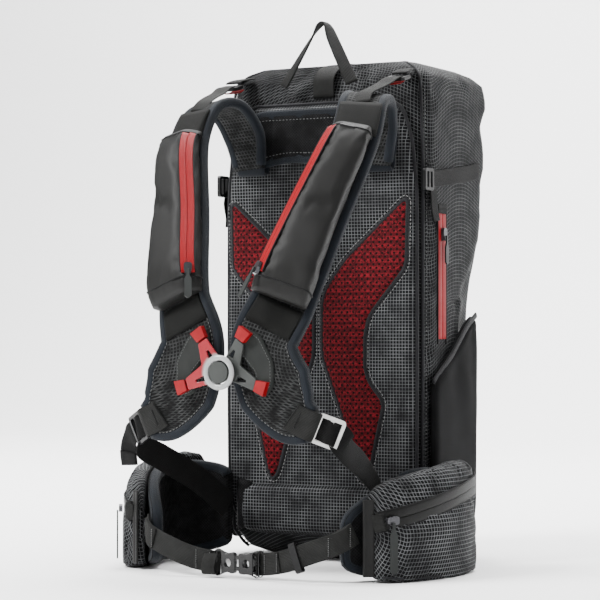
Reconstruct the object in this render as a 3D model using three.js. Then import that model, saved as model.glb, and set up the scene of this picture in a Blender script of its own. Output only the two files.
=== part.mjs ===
// Ski-touring backpack with a four-point chest harness, standing on its base, in millimetres.
// +Z is up, the wearer's side faces -Y and the wearer's left is +X. A "left" piece is modelled,
// and its "right" twin is the same code inside a group that is mirrored in X.

import * as THREE from 'three';

// ---- bag and back ----
const BAG_HALF = 134;          // half the width of the stuffed bag
const BAG_HEIGHT = 596;        // base to the crown of the stuffed bag
const CROWN = 21;              // how far the crown stands over the back's top edge
const BACK_TOP = BAG_HEIGHT - CROWN;
const BAG_FRONT = 4;           // Y of the wall that faces the wearer
const BAG_DEPTH = 197;         // that wall to the furthest point of the rear
const BAG_CORNER = 20;         // radius of the bag's upright corners
const GAP = 0.5;               // clearance between pieces that rest on each other
const STAY_THICK = 2.4;
const SHEET_THICK = 2;
const PANEL_THICK = 9;
const PANEL_HALF = 126;
const PANEL_BOTTOM = 34;
const MESH_THICK = 3;
const MESH_TIP = 95;           // lowest point of the mesh cushions
const YOKE_THICK = 6;
const LUMBAR_THICK = 8;

// ---- shoulder straps ----
const STRAP_X = 84;            // root of each strap, out from the middle
const STRAP_THICK = 10;
const STRAP_POCKET_THICK = 27;
const POCKET_BEVEL = 13;       // leg of the bevel that carries the strap pocket's zip
const STRAP_SWING_Z = BACK_TOP - 75;
const FLARE_Y = -223;          // middle plane of the straps' wide lower ends
const WEB_THICK = 2;
const LOWER_WEB = 34;          // width of the lower strap webbing

// ---- chest closure ----
const CHEST_Z = 229;           // height of the ring that joins the two straps
const CHEST_PLATE = 3;
const ARM_THICK = 3.6;
const RING_OUTER = 19;
const RING_INNER = 12.6;
const BUTTON_TRAVEL = 2.5;

// ---- hip belt ----
const WING_PIVOT = [BAG_HALF - 16, -22];
const WING_CENTRE = [BAG_HALF - 137, -53];   // plan centre of the wing's curve
const POCKET_OUTER = 209;      // plan radius of the hip pocket's outer face
const HIP_POCKET_THICK = 27;
const WING_THICK = 12;
const HIP_POCKET_TOP = 127;
const BELT_WEB = 26;
const BUCKLE_Y = -199;
const BUCKLE_Z = 17;
const SOCKET_LENGTH = 29;
const SOCKET_START = 3;        // gap from the middle plane to the mouth of the socket

const DEPTH_SHIFT = 24;        // brings the middle of the whole pack to Y = 0

// ---- layers between the bag and the wearer ----
const STAY_Y = BAG_FRONT - GAP - STAY_THICK / 2;
const SHEET_Y = STAY_Y - STAY_THICK / 2 - GAP - SHEET_THICK / 2;
const PANEL_Y = SHEET_Y - SHEET_THICK / 2 - GAP - PANEL_THICK / 2;
const PANEL_FACE = PANEL_Y - PANEL_THICK / 2;

const vec = (p) => new THREE.Vector3(...p);
const lerp = THREE.MathUtils.lerp;
const radians = THREE.MathUtils.degToRad;

function part(name, geometry, color, roughness = 0.85, metalness = 0) {
  const mesh = new THREE.Mesh(geometry, new THREE.MeshStandardMaterial({ color, roughness, metalness }));
  mesh.name = name;
  return mesh;
}

function signedVolume(points, index) {
  let total = 0;
  for (let i = 0; i < index.length; i += 3) {
    const [a, b, c] = [points[index[i]], points[index[i + 1]], points[index[i + 2]]];
    total += a.dot(b.clone().cross(c)) / 6;
  }
  return total;
}

// A closed body through rings of the same number of points, with a flat fan on each end.
function loft(rings) {
  const count = rings[0].length;
  const points = rings.flat();
  const last = points.length - count;
  const index = [];
  for (let r = 0; r < rings.length - 1; r += 1) {
    for (let j = 0; j < count; j += 1) {
      const a = r * count + j;
      const b = r * count + ((j + 1) % count);
      index.push(a, b, b + count, a, b + count, a + count);
    }
  }
  for (let j = 1; j < count - 1; j += 1) {
    index.push(0, j + 1, j, last, last + j, last + j + 1);
  }
  if (signedVolume(points, index) < 0) index.reverse();
  const geometry = new THREE.BufferGeometry().setFromPoints(points);
  geometry.setIndex(index);
  geometry.computeVertexNormals();
  return geometry;
}

// A plate of even thickness in an XZ plane; its middle plane is at Y = y.
function plate(outline, thick, y, holes = []) {
  const shape = new THREE.Shape(outline.map(([x, z]) => new THREE.Vector2(x, z)));
  holes.forEach((hole) => shape.holes.push(new THREE.Path(hole.map(([x, z]) => new THREE.Vector2(x, z)))));
  const geometry = new THREE.ExtrudeGeometry(shape, { depth: thick, bevelEnabled: false });
  geometry.rotateX(Math.PI / 2);
  geometry.translate(0, y + thick / 2, 0);
  return geometry;
}

function roundedBox(width, height, radius, arc = 3) {
  const corners = [[1, 1], [-1, 1], [-1, -1], [1, -1]];
  return corners.flatMap(([sx, sz], k) => Array.from({ length: arc + 1 }, (_, i) => {
    const angle = (k + i / arc) * Math.PI / 2;
    const x = sx * (width / 2 - radius) + radius * Math.cos(angle);
    return [x, sz * (height / 2 - radius) + radius * Math.sin(angle)];
  }));
}

function circle(radius, steps, [x, z] = [0, 0]) {
  return Array.from({ length: steps }, (_, i) => {
    const angle = (i / steps) * 2 * Math.PI;
    return [x + radius * Math.cos(angle), z + radius * Math.sin(angle)];
  });
}

// The frame at u (0 to 1) of a strap given by stations {at, across, width, thick}.
function frameAt(stations, u) {
  const curve = new THREE.CatmullRomCurve3(stations.map((s) => vec(s.at)), false, 'centripetal');
  const place = u * (stations.length - 1);
  const k = Math.min(Math.floor(place), stations.length - 2);
  const [a, b, f] = [stations[k], stations[k + 1], place - k];
  const along = curve.getTangent(u);
  const across = vec(a.across).lerp(vec(b.across), f);
  across.addScaledVector(along, -across.dot(along)).normalize();
  const normal = along.clone().cross(across);
  return {
    at: curve.getPoint(u), along, across, normal,
    width: lerp(a.width, b.width, f), thick: lerp(a.thick, b.thick, f),
  };
}

// A chamfered rectangle of points round a frame.
function section({ at, across, normal, width, thick }) {
  const [w, t] = [width / 2, thick / 2];
  const c = Math.min(w, t) * 0.6;
  const corners = [[w - c, -t], [w, c - t], [w, t - c], [w - c, t], [c - w, t], [-w, t - c],
    [-w, c - t], [c - w, -t]];
  return corners.map(([a, b]) => at.clone().addScaledVector(across, a).addScaledVector(normal, b));
}

function sweep(stations, steps) {
  return loft(Array.from({ length: steps + 1 }, (_, i) => section(frameAt(stations, i / steps))));
}

// Stations of the same width, thickness and width direction.
function webbing(points, width, across, thick = WEB_THICK) {
  return points.map((at) => ({ at, across, width, thick }));
}

// ---- the stuffed bag ----
function bagRing([z, inset, front, rear]) {
  const half = BAG_HALF - inset;
  const depth = rear - front;
  const radius = Math.min(BAG_CORNER, depth / 2.2);
  return roundedBox(2 * half, depth, radius, 4)
    .map(([x, y]) => new THREE.Vector3(x, y + (front + rear) / 2, z));
}

function mainBag() {
  const back = BAG_FRONT + BAG_DEPTH;
  const levels = [
    [0, 40, BAG_FRONT + 36, back - 65],
    [12, 16, BAG_FRONT + 12, back - 53],
    [PANEL_BOTTOM, 5, BAG_FRONT, back - 48],
    [BACK_TOP - 490, 2, BAG_FRONT, back - 45],
    [BACK_TOP - 340, 1, BAG_FRONT, back - 44],
    [BACK_TOP - 270, 1, BAG_FRONT, back - 36],
    [BACK_TOP - 191, 0, BAG_FRONT, back - 15],
    [BACK_TOP - 105, 0, BAG_FRONT, back - 4],
    [BACK_TOP - 25, 2, BAG_FRONT, back],
    [BACK_TOP, 6, BAG_FRONT + 4, back - 2],
    [BAG_HEIGHT - 9, 20, BAG_FRONT + 14, back - 12],
    [BAG_HEIGHT, 46, BAG_FRONT + 36, back - 38],
  ];
  return part('main_bag', loft(levels.map(bagRing)), 0x2b2c2e, 0.8);
}

// ---- frame, back panel and pads ----
function frameSheet() {
  const [bottom, top] = [PANEL_BOTTOM + 36, BACK_TOP - 75];
  const outline = roundedBox(2 * PANEL_HALF - 62, top - bottom, 20, 3)
    .map(([x, z]) => [x, z + (top + bottom) / 2]);
  return part('frame_sheet', plate(outline, SHEET_THICK, SHEET_Y), 0x1c1c1e, 0.5);
}

function frameStay() {
  const [bottom, top] = [PANEL_BOTTOM + 46, BACK_TOP - 85];
  const outline = roundedBox(16, top - bottom, 7, 3)
    .map(([x, z]) => [x + 55, z + (top + bottom) / 2]);
  return plate(outline, STAY_THICK, STAY_Y);
}

function backPanel() {
  const top = BACK_TOP - 30;
  const half = [
    [PANEL_HALF - 34, PANEL_BOTTOM], [PANEL_HALF - 8, PANEL_BOTTOM + 22], [PANEL_HALF - 1, PANEL_BOTTOM + 60],
    [PANEL_HALF, PANEL_BOTTOM + 170], [PANEL_HALF, top - 105], [PANEL_HALF - 6, top - 45],
    [PANEL_HALF - 18, top - 10], [PANEL_HALF - 34, top],
  ];
  const mirrored = half.map(([x, z]) => [-x, z]).reverse();
  return part('back_panel', plate([...half, ...mirrored], PANEL_THICK, PANEL_Y), 0x2e2f31, 0.85);
}

// A swept-back mesh cushion beside the spine channel; each height is a share of the cushion's own.
function backMesh() {
  const outer = PANEL_HALF - 8;
  const top = BACK_TOP - 143;
  const outline = [
    [outer, 1], [38, 0.786], [13, 0.691], [6, 0.638], [6, 0.445], [39, 0.187], [53, 0.039], [61, 0],
    [68, 0.039], [87, 0.285], [68, 0.353], [62, 0.401], [62, 0.519], [68, 0.588], [outer - 2, 0.757],
  ].map(([x, share]) => [x, lerp(MESH_TIP, top, share)]);
  return plate(outline.reverse(), MESH_THICK, PANEL_FACE - GAP - MESH_THICK / 2);
}

function shoulderYoke() {
  const top = BACK_TOP - 38;
  const half = [
    [0, top - 62], [40, top - 60], [72, top - 66], [98, top - 76], [106, top - 40], [100, top - 10],
    [78, top],
  ];
  const mirrored = half.slice(1).map(([x, z]) => [-x, z]).reverse();
  const geometry = plate([...half, ...mirrored], YOKE_THICK, PANEL_FACE - GAP - YOKE_THICK / 2);
  return part('shoulder_yoke', geometry, 0x17191c, 0.9);
}

function lumbarPad() {
  const [width, height] = [2 * (WING_PIVOT[0] - 14), MESH_TIP - PANEL_BOTTOM - 4];
  const outline = roundedBox(width, height, 10, 3).map(([x, z]) => [x, z + PANEL_BOTTOM + height / 2]);
  return part('lumbar_pad', plate(outline, LUMBAR_THICK, PANEL_FACE - GAP - LUMBAR_THICK / 2), 0x1a1b1d, 0.9);
}

// ---- side and top fittings of the bag ----
function sidePocket() {
  const [front, rear] = [BAG_FRONT + 58, BAG_FRONT + BAG_DEPTH - 61];
  const outline = [[front, 22], [rear - 18, 22], [rear - 4, 60], [rear, 250], [rear - 4, 296],
    [rear - 30, 286], [front, 262]];
  const shape = new THREE.Shape(outline.map(([y, z]) => new THREE.Vector2(y, z)));
  const geometry = new THREE.ExtrudeGeometry(shape, { depth: 8, bevelEnabled: false });
  const basis = new THREE.Matrix4().makeBasis(vec([0, 1, 0]), vec([0, 0, 1]), vec([1, 0, 0]));
  return geometry.applyMatrix4(basis).translate(BAG_HALF + GAP, 0, 0);
}

function compressionStrap() {
  const x = BAG_HALF + GAP + WEB_THICK / 2 + 0.5;
  const z = BACK_TOP - 122;
  return sweep(webbing([[x, 18, z], [x, 80, z + 7], [x, 150, z + 18]], 20, [0, 0, 1]), 6);
}

function topStrap() {
  const back = BAG_FRONT + BAG_DEPTH + 2.5;
  const top = BAG_HEIGHT + 2.5;
  const points = [
    [0, BAG_FRONT - 4, BACK_TOP - 22], [0, BAG_FRONT - 1, BACK_TOP + 4], [0, BAG_FRONT + 34, top],
    [0, back - 40, top], [0, back - 12, BACK_TOP + 14], [0, back, BACK_TOP - 4],
    [0, back + 1, BACK_TOP - 34], [0, back - 3, BACK_TOP - 105], [0, back - 9, BACK_TOP - 150],
  ];
  return part('top_strap', sweep(webbing(points, 28, [1, 0, 0]), 26), 0x222224, 0.75);
}

// The loop's webbing faces the wearer at its feet and turns edge-on where it bends at the top.
function haulLoop() {
  const foot = BACK_TOP - 8;
  const leg = [
    { at: [46, -13, foot], across: [0.8, 0.5, 0.5] }, { at: [38, -10, foot + 14], across: [0.75, 0.55, 0.4] },
    { at: [14, -2, foot + 57], across: [0.5, 0.8, 0.2] }, { at: [6, 2, foot + 72], across: [0.1, 1, 0] },
    { at: [0, 3, foot + 76], across: [0, 1, 0] },
  ];
  const turned = ({ at: [x, y, z], across: [a, b, c] }) => ({ at: [-x, y, z], across: [-a, b, c] });
  const stations = [...leg, ...leg.slice(0, -1).map(turned).reverse()]
    .map((station) => ({ ...station, width: 13, thick: 2.4 }));
  return part('haul_loop', sweep(stations, 24), 0x1c1c1e, 0.8);
}

// A ladder-lock frame lying in its own XZ plane: two webbing slots beside a middle bar.
function ladderLock(width, length, thick) {
  const bar = 3.6;
  const slot = (length - 3 * bar) / 2;
  const hole = (z) => roundedBox(width - 2 * bar, slot, 0.8, 1).map(([x, h]) => [x, h + z]).reverse();
  const offset = (slot + bar) / 2;
  return plate(roundedBox(width, length, 3, 2), thick, 0, [hole(offset), hole(-offset)]);
}

// A zip slider lying in its own XZ plane, tapered towards -Z.
function sliderBody() {
  return plate([[-3, -7], [3, -7], [4.6, 1], [4.6, 6], [3, 8], [-3, 8], [-4.6, 6], [-4.6, 1]], 4.4, 0);
}

// A pull tab hanging from the origin in its own XZ plane.
function pullTab(length, width) {
  const w = width / 2;
  return plate([[-1.5, 0], [-1.5, -8], [-w, -14], [-w, -length + 3], [3 - w, -length],
    [w - 3, -length], [w, -length + 3], [w, -14], [1.5, -8], [1.5, 0]], 1.8, 0);
}

// ---- shoulder strap ----
const HORIZONTAL = [1, 0, 0];
const TURNED = [0.956, 0.23, -0.18];
const STRAP = [
  { at: [STRAP_X, -27, STRAP_SWING_Z - 32], across: HORIZONTAL, width: 40 },
  { at: [STRAP_X + 4, -36, STRAP_SWING_Z + 10], across: HORIZONTAL, width: 54 },
  { at: [STRAP_X + 13, -62, STRAP_SWING_Z + 39], across: [0.99, 0.1, -0.1], width: 54 },
  { at: [STRAP_X + 21, -97, STRAP_SWING_Z + 35], across: [0.97, 0.18, -0.15], width: 54 },
  { at: [STRAP_X + 24, -125, STRAP_SWING_Z - 7], across: TURNED, width: 56 },
  { at: [85.5, -168, (STRAP_SWING_Z + CHEST_Z + 69) / 2], across: TURNED, width: 63 },
  { at: [63, FLARE_Y + 12, CHEST_Z + 76], across: TURNED, width: 73 },
  { at: [46, FLARE_Y, CHEST_Z + 29], across: HORIZONTAL, width: 80 },
  { at: [60, FLARE_Y, CHEST_Z - 17], across: [0.98, 0, 0.2], width: 92 },
  { at: [84, FLARE_Y + 1, CHEST_Z - 47], across: [0.8, 0, 0.6], width: 66, thick: 9 },
  { at: [106, FLARE_Y + 2, CHEST_Z - 57], across: [0.5, 0, 0.87], width: 36, thick: 8 },
].map((station) => ({ thick: STRAP_THICK, ...station }));
const POCKET_FROM = 3.95;      // place along the strap's stations where the pocket starts
const POCKET_TO = 6;

function strapFrame(place) {
  return frameAt(STRAP, place / (STRAP.length - 1));
}

// A frame in the middle of the strap pocket, and the pocket's width and thickness there.
function pocketFrame(place) {
  const frame = strapFrame(place);
  const share = (place - POCKET_FROM) / (POCKET_TO - POCKET_FROM);
  const swell = 1 - 0.4 * Math.abs(2 * share - 1) ** 6;
  frame.width = lerp(50, 72, share) * (0.85 + 0.15 * swell);
  frame.thick = STRAP_POCKET_THICK * swell;
  frame.at.addScaledVector(frame.normal, STRAP_THICK / 2 + 3 * GAP + frame.thick / 2);
  frame.at.addScaledVector(frame.across, -3);
  return frame;
}

// The pocket's section has a wide bevel towards the other strap, where its zip is sewn in.
function pocketSection({ at, across, normal, width, thick }) {
  const [w, t, c] = [width / 2, thick / 2, 4];
  const bevel = Math.min(POCKET_BEVEL, thick - c - 1);
  const corners = [[w - c, -t], [w, c - t], [w, t - c], [w - c, t], [bevel - w, t], [-w, t - bevel],
    [-w, c - t], [c - w, -t]];
  return corners.map(([a, b]) => at.clone().addScaledVector(across, a).addScaledVector(normal, b));
}

function strapPocket() {
  const steps = 14;
  const rings = Array.from({ length: steps + 1 }, (_, i) => (
    pocketSection(pocketFrame(lerp(POCKET_FROM, POCKET_TO, i / steps)))
  ));
  return loft(rings);
}

// The straight line of the strap zip down the middle of the pocket's bevel, as the slider's frame.
function strapZip() {
  const onBevel = (place) => {
    const { at, across, normal, width, thick } = pocketFrame(place);
    const outward = normal.clone().sub(across).normalize();
    return at.clone().addScaledVector(across, (POCKET_BEVEL - width) / 2)
      .addScaledVector(normal, (thick - POCKET_BEVEL) / 2).addScaledVector(outward, 4.2);
  };
  const [low, high] = [onBevel(5.78), onBevel(4.2)];
  const up = high.clone().sub(low).normalize();
  const middle = pocketFrame(5);
  const out = middle.normal.clone().sub(middle.across);
  out.addScaledVector(up, -out.dot(up)).normalize();
  return { low, up, out, side: up.clone().cross(out) };
}

function strapZipPieces(side) {
  const { low, up, out, side: across } = strapZip();
  const group = new THREE.Group();
  const basis = new THREE.Matrix4().makeBasis(across, out.clone().negate(), up);
  group.applyMatrix4(basis.setPosition(low));
  group.add(part(`${side}_strap_zip_slider`, sliderBody(), 0x3a3d3f, 0.4, 0.6));
  const pull = part(`${side}_strap_zip_pull`, pullTab(38, 8), 0x4b4f53, 0.8);
  pull.position.set(0, -3.8, -1);
  group.add(pull);
  return group;
}

// ---- chest closure ----
const PLATE_Y = FLARE_Y - STRAP_THICK / 2 - 1 - CHEST_PLATE / 2;
const ARM_Y = PLATE_Y - CHEST_PLATE / 2 - GAP - ARM_THICK / 2;
const RING_Y = ARM_Y - ARM_THICK - GAP;
const UPPER_CLIP = [24, CHEST_Z + 36];
const LOWER_CLIP = [44, CHEST_Z - 14];
const CLIP_LENGTH = 13;

function chestPlate() {
  const outline = [[18, 40], [26, 50], [46, 40], [62, 12], [62, -16], [50, -28], [36, -22], [40, -2],
    [22, 18]];
  return plate(outline.map(([x, z]) => [x, z + CHEST_Z]).reverse(), CHEST_PLATE, PLATE_Y);
}

// Polar direction of a clip seen from the middle of the ring.
function clipAngle([x, z]) {
  return Math.atan2(z - CHEST_Z, x);
}

function clip(at) {
  const angle = clipAngle(at);
  const outline = [[0, -6], [CLIP_LENGTH, -8], [CLIP_LENGTH, 8], [0, 6]]
    .map(([a, b]) => [at[0] + a * Math.cos(angle) - b * Math.sin(angle),
      at[1] + a * Math.sin(angle) + b * Math.cos(angle)]);
  const thick = 2 * ARM_THICK + GAP;
  return plate(outline, thick, (ARM_Y + RING_Y) / 2);
}

// Two arms from the clips to a hub of the given radius.
function armOutline(hub) {
  const [upper, lower] = [UPPER_CLIP, LOWER_CLIP].map((at) => {
    const angle = clipAngle(at);
    const reach = Math.hypot(at[0], at[1] - CHEST_Z) - GAP;
    return { angle, reach };
  });
  const point = (angle, r, b = 0) => [
    r * Math.cos(angle) - b * Math.sin(angle), CHEST_Z + r * Math.sin(angle) + b * Math.cos(angle)];
  const arc = (from, to, n) => Array.from({ length: n + 1 }, (_, i) => point(lerp(from, to, i / n), hub));
  const web = point((upper.angle + lower.angle) / 2, RING_OUTER + 5);
  return [
    point(lower.angle, lower.reach, -6), point(lower.angle, lower.reach, 6), web,
    point(upper.angle, upper.reach, -5.5), point(upper.angle, upper.reach, 5.5),
    ...arc(upper.angle + 0.5, lower.angle - 0.5 + 2 * Math.PI, 20),
  ];
}

function leftArm() {
  return plate(armOutline(10), ARM_THICK, ARM_Y);
}

function rightArm() {
  const hole = circle(RING_INNER, 20, [0, CHEST_Z]).reverse();
  return plate(armOutline(RING_OUTER), ARM_THICK, RING_Y, [hole]);
}

function chestButton() {
  const thick = 4.5;
  const y = ARM_Y - ARM_THICK / 2 - 0.4 - BUTTON_TRAVEL - thick / 2;
  const disc = plate(circle(RING_INNER - 0.6, 18, [0, CHEST_Z]), thick, y);
  return part('chest_button', disc, 0x55585b, 0.5, 0.3);
}

// ---- webbing and lock between the strap and the bag's lower corner ----
const LOCK_LENGTH = 30;
const LOCK_TILT = radians(28);

function strapLock(side) {
  const color = side === 'left' ? 0xd7d7cd : 0x1a1a1c;
  const lock = part(`${side}_ladder_lock`, ladderLock(34, LOCK_LENGTH, 4.5), color, 0.4);
  const { at, along, across, normal } = strapFrame(STRAP.length - 1);
  const hinge = new THREE.Group();
  const basis = new THREE.Matrix4().makeBasis(across, normal.clone().negate(), along.clone().negate());
  hinge.applyMatrix4(basis.setPosition(at.clone().addScaledVector(along, 3)));
  hinge.rotateX(LOCK_TILT);
  lock.position.z = -LOCK_LENGTH / 2;
  return hinge.add(lock);
}

function lowerWebbing() {
  const [x, y, z] = STRAP.at(-1).at;
  const points = [[x + 24, y + 21, z - 22], [x + 21, y + 71, z - 54], [BAG_HALF - 18, -90, PANEL_BOTTOM + 52],
    [BAG_HALF - 28, -40, PANEL_BOTTOM + 30]];
  return sweep(webbing(points, LOWER_WEB, [0.95, 0, 0.3]), 10);
}

function lifterWebbing() {
  const points = [[STRAP_X + 27, -42, BACK_TOP - 9], [STRAP_X + 24, -62, BACK_TOP - 15],
    [STRAP_X + 24, -82, BACK_TOP - 22]];
  return sweep(webbing(points, 20, HORIZONTAL), 4);
}

function lifterBuckle(side) {
  const lock = part(`${side}_lifter_buckle`, ladderLock(27, 22, 4), 0x1b1b1d, 0.5);
  lock.position.set(STRAP_X + 28, -27, BACK_TOP - 8);
  lock.rotation.x = radians(-75);
  return lock;
}

function compressionBuckle(side) {
  const lock = part(`${side}_compression_buckle`, ladderLock(26, 22, 4), 0x1b1b1d, 0.5);
  lock.applyMatrix4(new THREE.Matrix4().makeBasis(vec([0, 0, 1]), vec([1, 0, 0]), vec([0, 1, 0])));
  lock.position.set(BAG_HALF + 4.5, 2, BACK_TOP - 124);
  return lock;
}

function strapSide(side) {
  const group = new THREE.Group();
  const grey = 0x55585a;
  group.add(part(`${side}_strap_pad`, sweep(STRAP, 34), 0x1b1d20, 0.9));
  group.add(part(`${side}_strap_pocket`, strapPocket(), 0x3c3c3a, 0.6));
  group.add(strapZipPieces(side));
  group.add(part(`${side}_chest_plate`, chestPlate(), grey, 0.8));
  group.add(part(`${side}_chest_arm`, side === 'left' ? leftArm() : rightArm(), 0x5f6260, 0.5));
  group.add(part(`${side}_upper_clip`, clip(UPPER_CLIP), 0xe61e23, 0.5));
  group.add(part(`${side}_lower_clip`, clip(LOWER_CLIP), 0xe61e23, 0.5));
  group.add(strapLock(side));
  group.add(part(`${side}_lower_webbing`, lowerWebbing(), 0x151515, 0.8));
  group.add(part(`${side}_lifter_webbing`, lifterWebbing(), 0x1d1d1e, 0.8));
  group.add(lifterBuckle(side));
  return group;
}

// ---- hip belt wing ----
const WING_R = POCKET_OUTER - HIP_POCKET_THICK - 4 * GAP - WING_THICK / 2;

function onCurve(radius, degrees, z = 0) {
  const angle = radians(degrees);
  return [WING_CENTRE[0] + radius * Math.cos(angle), WING_CENTRE[1] + radius * Math.sin(angle), z];
}

// An upright pad or pocket: stations give a plan point and the heights of its lower and upper edge.
function upright(rows, thick, steps) {
  const stations = rows.map(([x, y, low, high, t = thick]) => (
    { at: [x, y, (low + high) / 2], across: [0, 0, 1], width: high - low, thick: t }
  ));
  return sweep(stations, steps);
}

function wingPad() {
  const plan = (degrees, low, high) => [...onCurve(WING_R, degrees).slice(0, 2), low, high];
  return upright([
    [WING_PIVOT[0] - 6, -24.5, 20, 108], [WING_PIVOT[0] + 11, -27, 14, 114],
    [WING_PIVOT[0] + 34, -38, 8, 118], [WING_PIVOT[0] + 47, -56, 6, 118],
    plan(-10, 5, 116), plan(-20, 4, 110), plan(-30, 5, 102), plan(-39, 8, 88), plan(-46, 16, 70),
  ], WING_THICK, 20);
}

function hipPocket() {
  const middle = POCKET_OUTER - HIP_POCKET_THICK / 2;
  const row = (degrees, low, high, share) => {
    const thick = HIP_POCKET_THICK * share;
    const radius = middle - (HIP_POCKET_THICK - thick) * 0.3;
    return [...onCurve(radius, degrees).slice(0, 2), low, high, thick];
  };
  const top = HIP_POCKET_TOP;
  return upright([
    row(-38, 10, top - 32, 0.35), row(-35, 3, top - 22, 0.8), row(-28, 0, top - 14, 1),
    row(-15, 0, top - 7, 1), row(0, 0, top - 1, 1), row(12, 1, top, 1), row(18.5, 5, top - 3, 0.8),
    row(21, 14, top - 12, 0.35),
  ], HIP_POCKET_THICK, 22);
}

const HIP_ZIP_START = -33;     // degrees along the wing's curve

function hipZipPieces(side) {
  const group = new THREE.Group();
  group.position.set(...onCurve(POCKET_OUTER + 3.6, HIP_ZIP_START, 69));
  group.rotation.z = radians(90 + HIP_ZIP_START);
  const slider = part(`${side}_hip_zip_slider`, sliderBody(), 0x3a3d3f, 0.4, 0.6);
  slider.rotation.y = radians(90);
  const pull = part(`${side}_hip_zip_pull`, pullTab(56, 9), 0x4b4f53, 0.8);
  pull.position.set(0, -3.8, -2);
  group.add(slider, pull);
  return group;
}

const BELT = webbing([
  onCurve(POCKET_OUTER - HIP_POCKET_THICK + 2, -42, 54),
  onCurve(POCKET_OUTER - HIP_POCKET_THICK + 4, -49, 43),
  [90, BUCKLE_Y - 3, BUCKLE_Z + 15], [60, BUCKLE_Y - 3, BUCKLE_Z + 5],
  [SOCKET_LENGTH + 6, BUCKLE_Y, BUCKLE_Z + 0.5],
], BELT_WEB, [0, 0, 1]);

// A flat ring round the left half of the belt webbing that holds its folded tail.
function triglide() {
  const { at, along, across, normal } = frameAt(BELT, 0.62);
  const bore = roundedBox(WEB_THICK + 3, BELT_WEB + 3, 0.5, 1).reverse();
  const geometry = alongX(roundedBox(WEB_THICK + 6, BELT_WEB + 8, 2, 1), -4, 8, [bore]);
  const basis = new THREE.Matrix4().makeBasis(along, normal.clone().negate(), across);
  geometry.applyMatrix4(basis.setPosition(at));
  return part('belt_triglide', geometry, 0x1a1a1c, 0.5);
}

function wingSide(side) {
  const group = new THREE.Group();
  group.add(part(`${side}_wing_pad`, wingPad(), 0x191a1c, 0.9));
  group.add(part(`${side}_hip_pocket`, hipPocket(), 0x333436, 0.85));
  group.add(hipZipPieces(side));
  group.add(part(`${side}_belt_webbing`, sweep(BELT, 12), 0x373735, 0.8));
  return group;
}

// ---- side-release buckle ----
// A profile in YZ pushed along X from x to x + length.
function alongX(outline, x, length, holes = []) {
  const shape = new THREE.Shape(outline.map(([y, z]) => new THREE.Vector2(y, z)));
  holes.forEach((hole) => shape.holes.push(new THREE.Path(hole.map(([y, z]) => new THREE.Vector2(y, z)))));
  const geometry = new THREE.ExtrudeGeometry(shape, { depth: length, bevelEnabled: false });
  const basis = new THREE.Matrix4().makeBasis(vec([0, 1, 0]), vec([0, 0, 1]), vec([1, 0, 0]));
  return geometry.applyMatrix4(basis).translate(x, 0, 0);
}

function buckle() {
  const group = new THREE.Group();
  group.position.set(0, BUCKLE_Y, BUCKLE_Z);
  const [height, thick, wall] = [BELT_WEB + 5, 11, 2.2];
  const bore = roundedBox(thick - 2 * wall, height - 2 * wall, 0.6, 1).reverse();
  const socket = alongX(roundedBox(thick, height, 3, 2), SOCKET_START, SOCKET_LENGTH - SOCKET_START, [bore]);
  group.add(part('buckle_socket', socket, 0x1b1b1d, 0.45));
  const body = [[-3, -11], [-3, 11], [-12, 12], [-17, 14], [-SOCKET_LENGTH, 15], [-SOCKET_LENGTH, -15],
    [-17, -14], [-12, -12]];
  const slot = roundedBox(4, 24, 0.6, 1).map(([x, z]) => [x - SOCKET_LENGTH + 7, z]).reverse();
  group.add(part('buckle_plug', plate(body, 6, 0, [slot]), 0x1b1b1d, 0.45));
  const prong = [[-2.5, 4], [14, 6.5], [20, 6], [22, 8], [16, 11], [8, 9.5], [-2.5, 8]];
  const lowered = prong.map(([x, z]) => [x, -z]).reverse();
  group.add(part('upper_prong', plate(prong, 4, 0), 0x1b1b1d, 0.45));
  group.add(part('lower_prong', plate(lowered, 4, 0), 0x1b1b1d, 0.45));
  return group;
}

// ---- side-access zip on the left wall ----
function sideZip() {
  const group = new THREE.Group();
  group.position.set(BAG_HALF + 3.4, BAG_FRONT + 43, BACK_TOP - 187);
  group.rotation.z = radians(90);
  const slider = part('side_zip_slider', sliderBody(), 0x3a3d3f, 0.4, 0.6);
  const pull = part('side_zip_pull', pullTab(34, 8), 0x1d1d1f, 0.8);
  pull.position.set(0, -3.8, -1);
  group.add(slider, pull);
  return group;
}

// ---- assembly ----
function bagSide(side) {
  const group = new THREE.Group();
  group.add(part(`${side}_frame_stay`, frameStay(), 0xb9bcc0, 0.35, 0.9));
  group.add(part(`${side}_back_mesh`, backMesh(), 0x7a1a20, 0.9));
  group.add(part(`${side}_side_pocket`, sidePocket(), 0x0f0f10, 0.95));
  group.add(part(`${side}_compression_strap`, compressionStrap(), 0x1d1d1e, 0.8));
  group.add(compressionBuckle(side));
  return group;
}

function backpack() {
  const model = new THREE.Group();
  model.position.y = DEPTH_SHIFT;
  model.add(mainBag(), frameSheet(), backPanel(), shoulderYoke(), lumbarPad(), topStrap(), haulLoop());
  model.add(sideZip(), buckle(), chestButton(), triglide());
  for (const side of ['left', 'right']) {
    const half = new THREE.Group();
    half.scale.x = side === 'left' ? 1 : -1;
    half.add(bagSide(side), strapSide(side), wingSide(side));
    model.add(half);
  }
  return new THREE.Group().add(model);
}

export default backpack();
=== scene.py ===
import math

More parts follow.
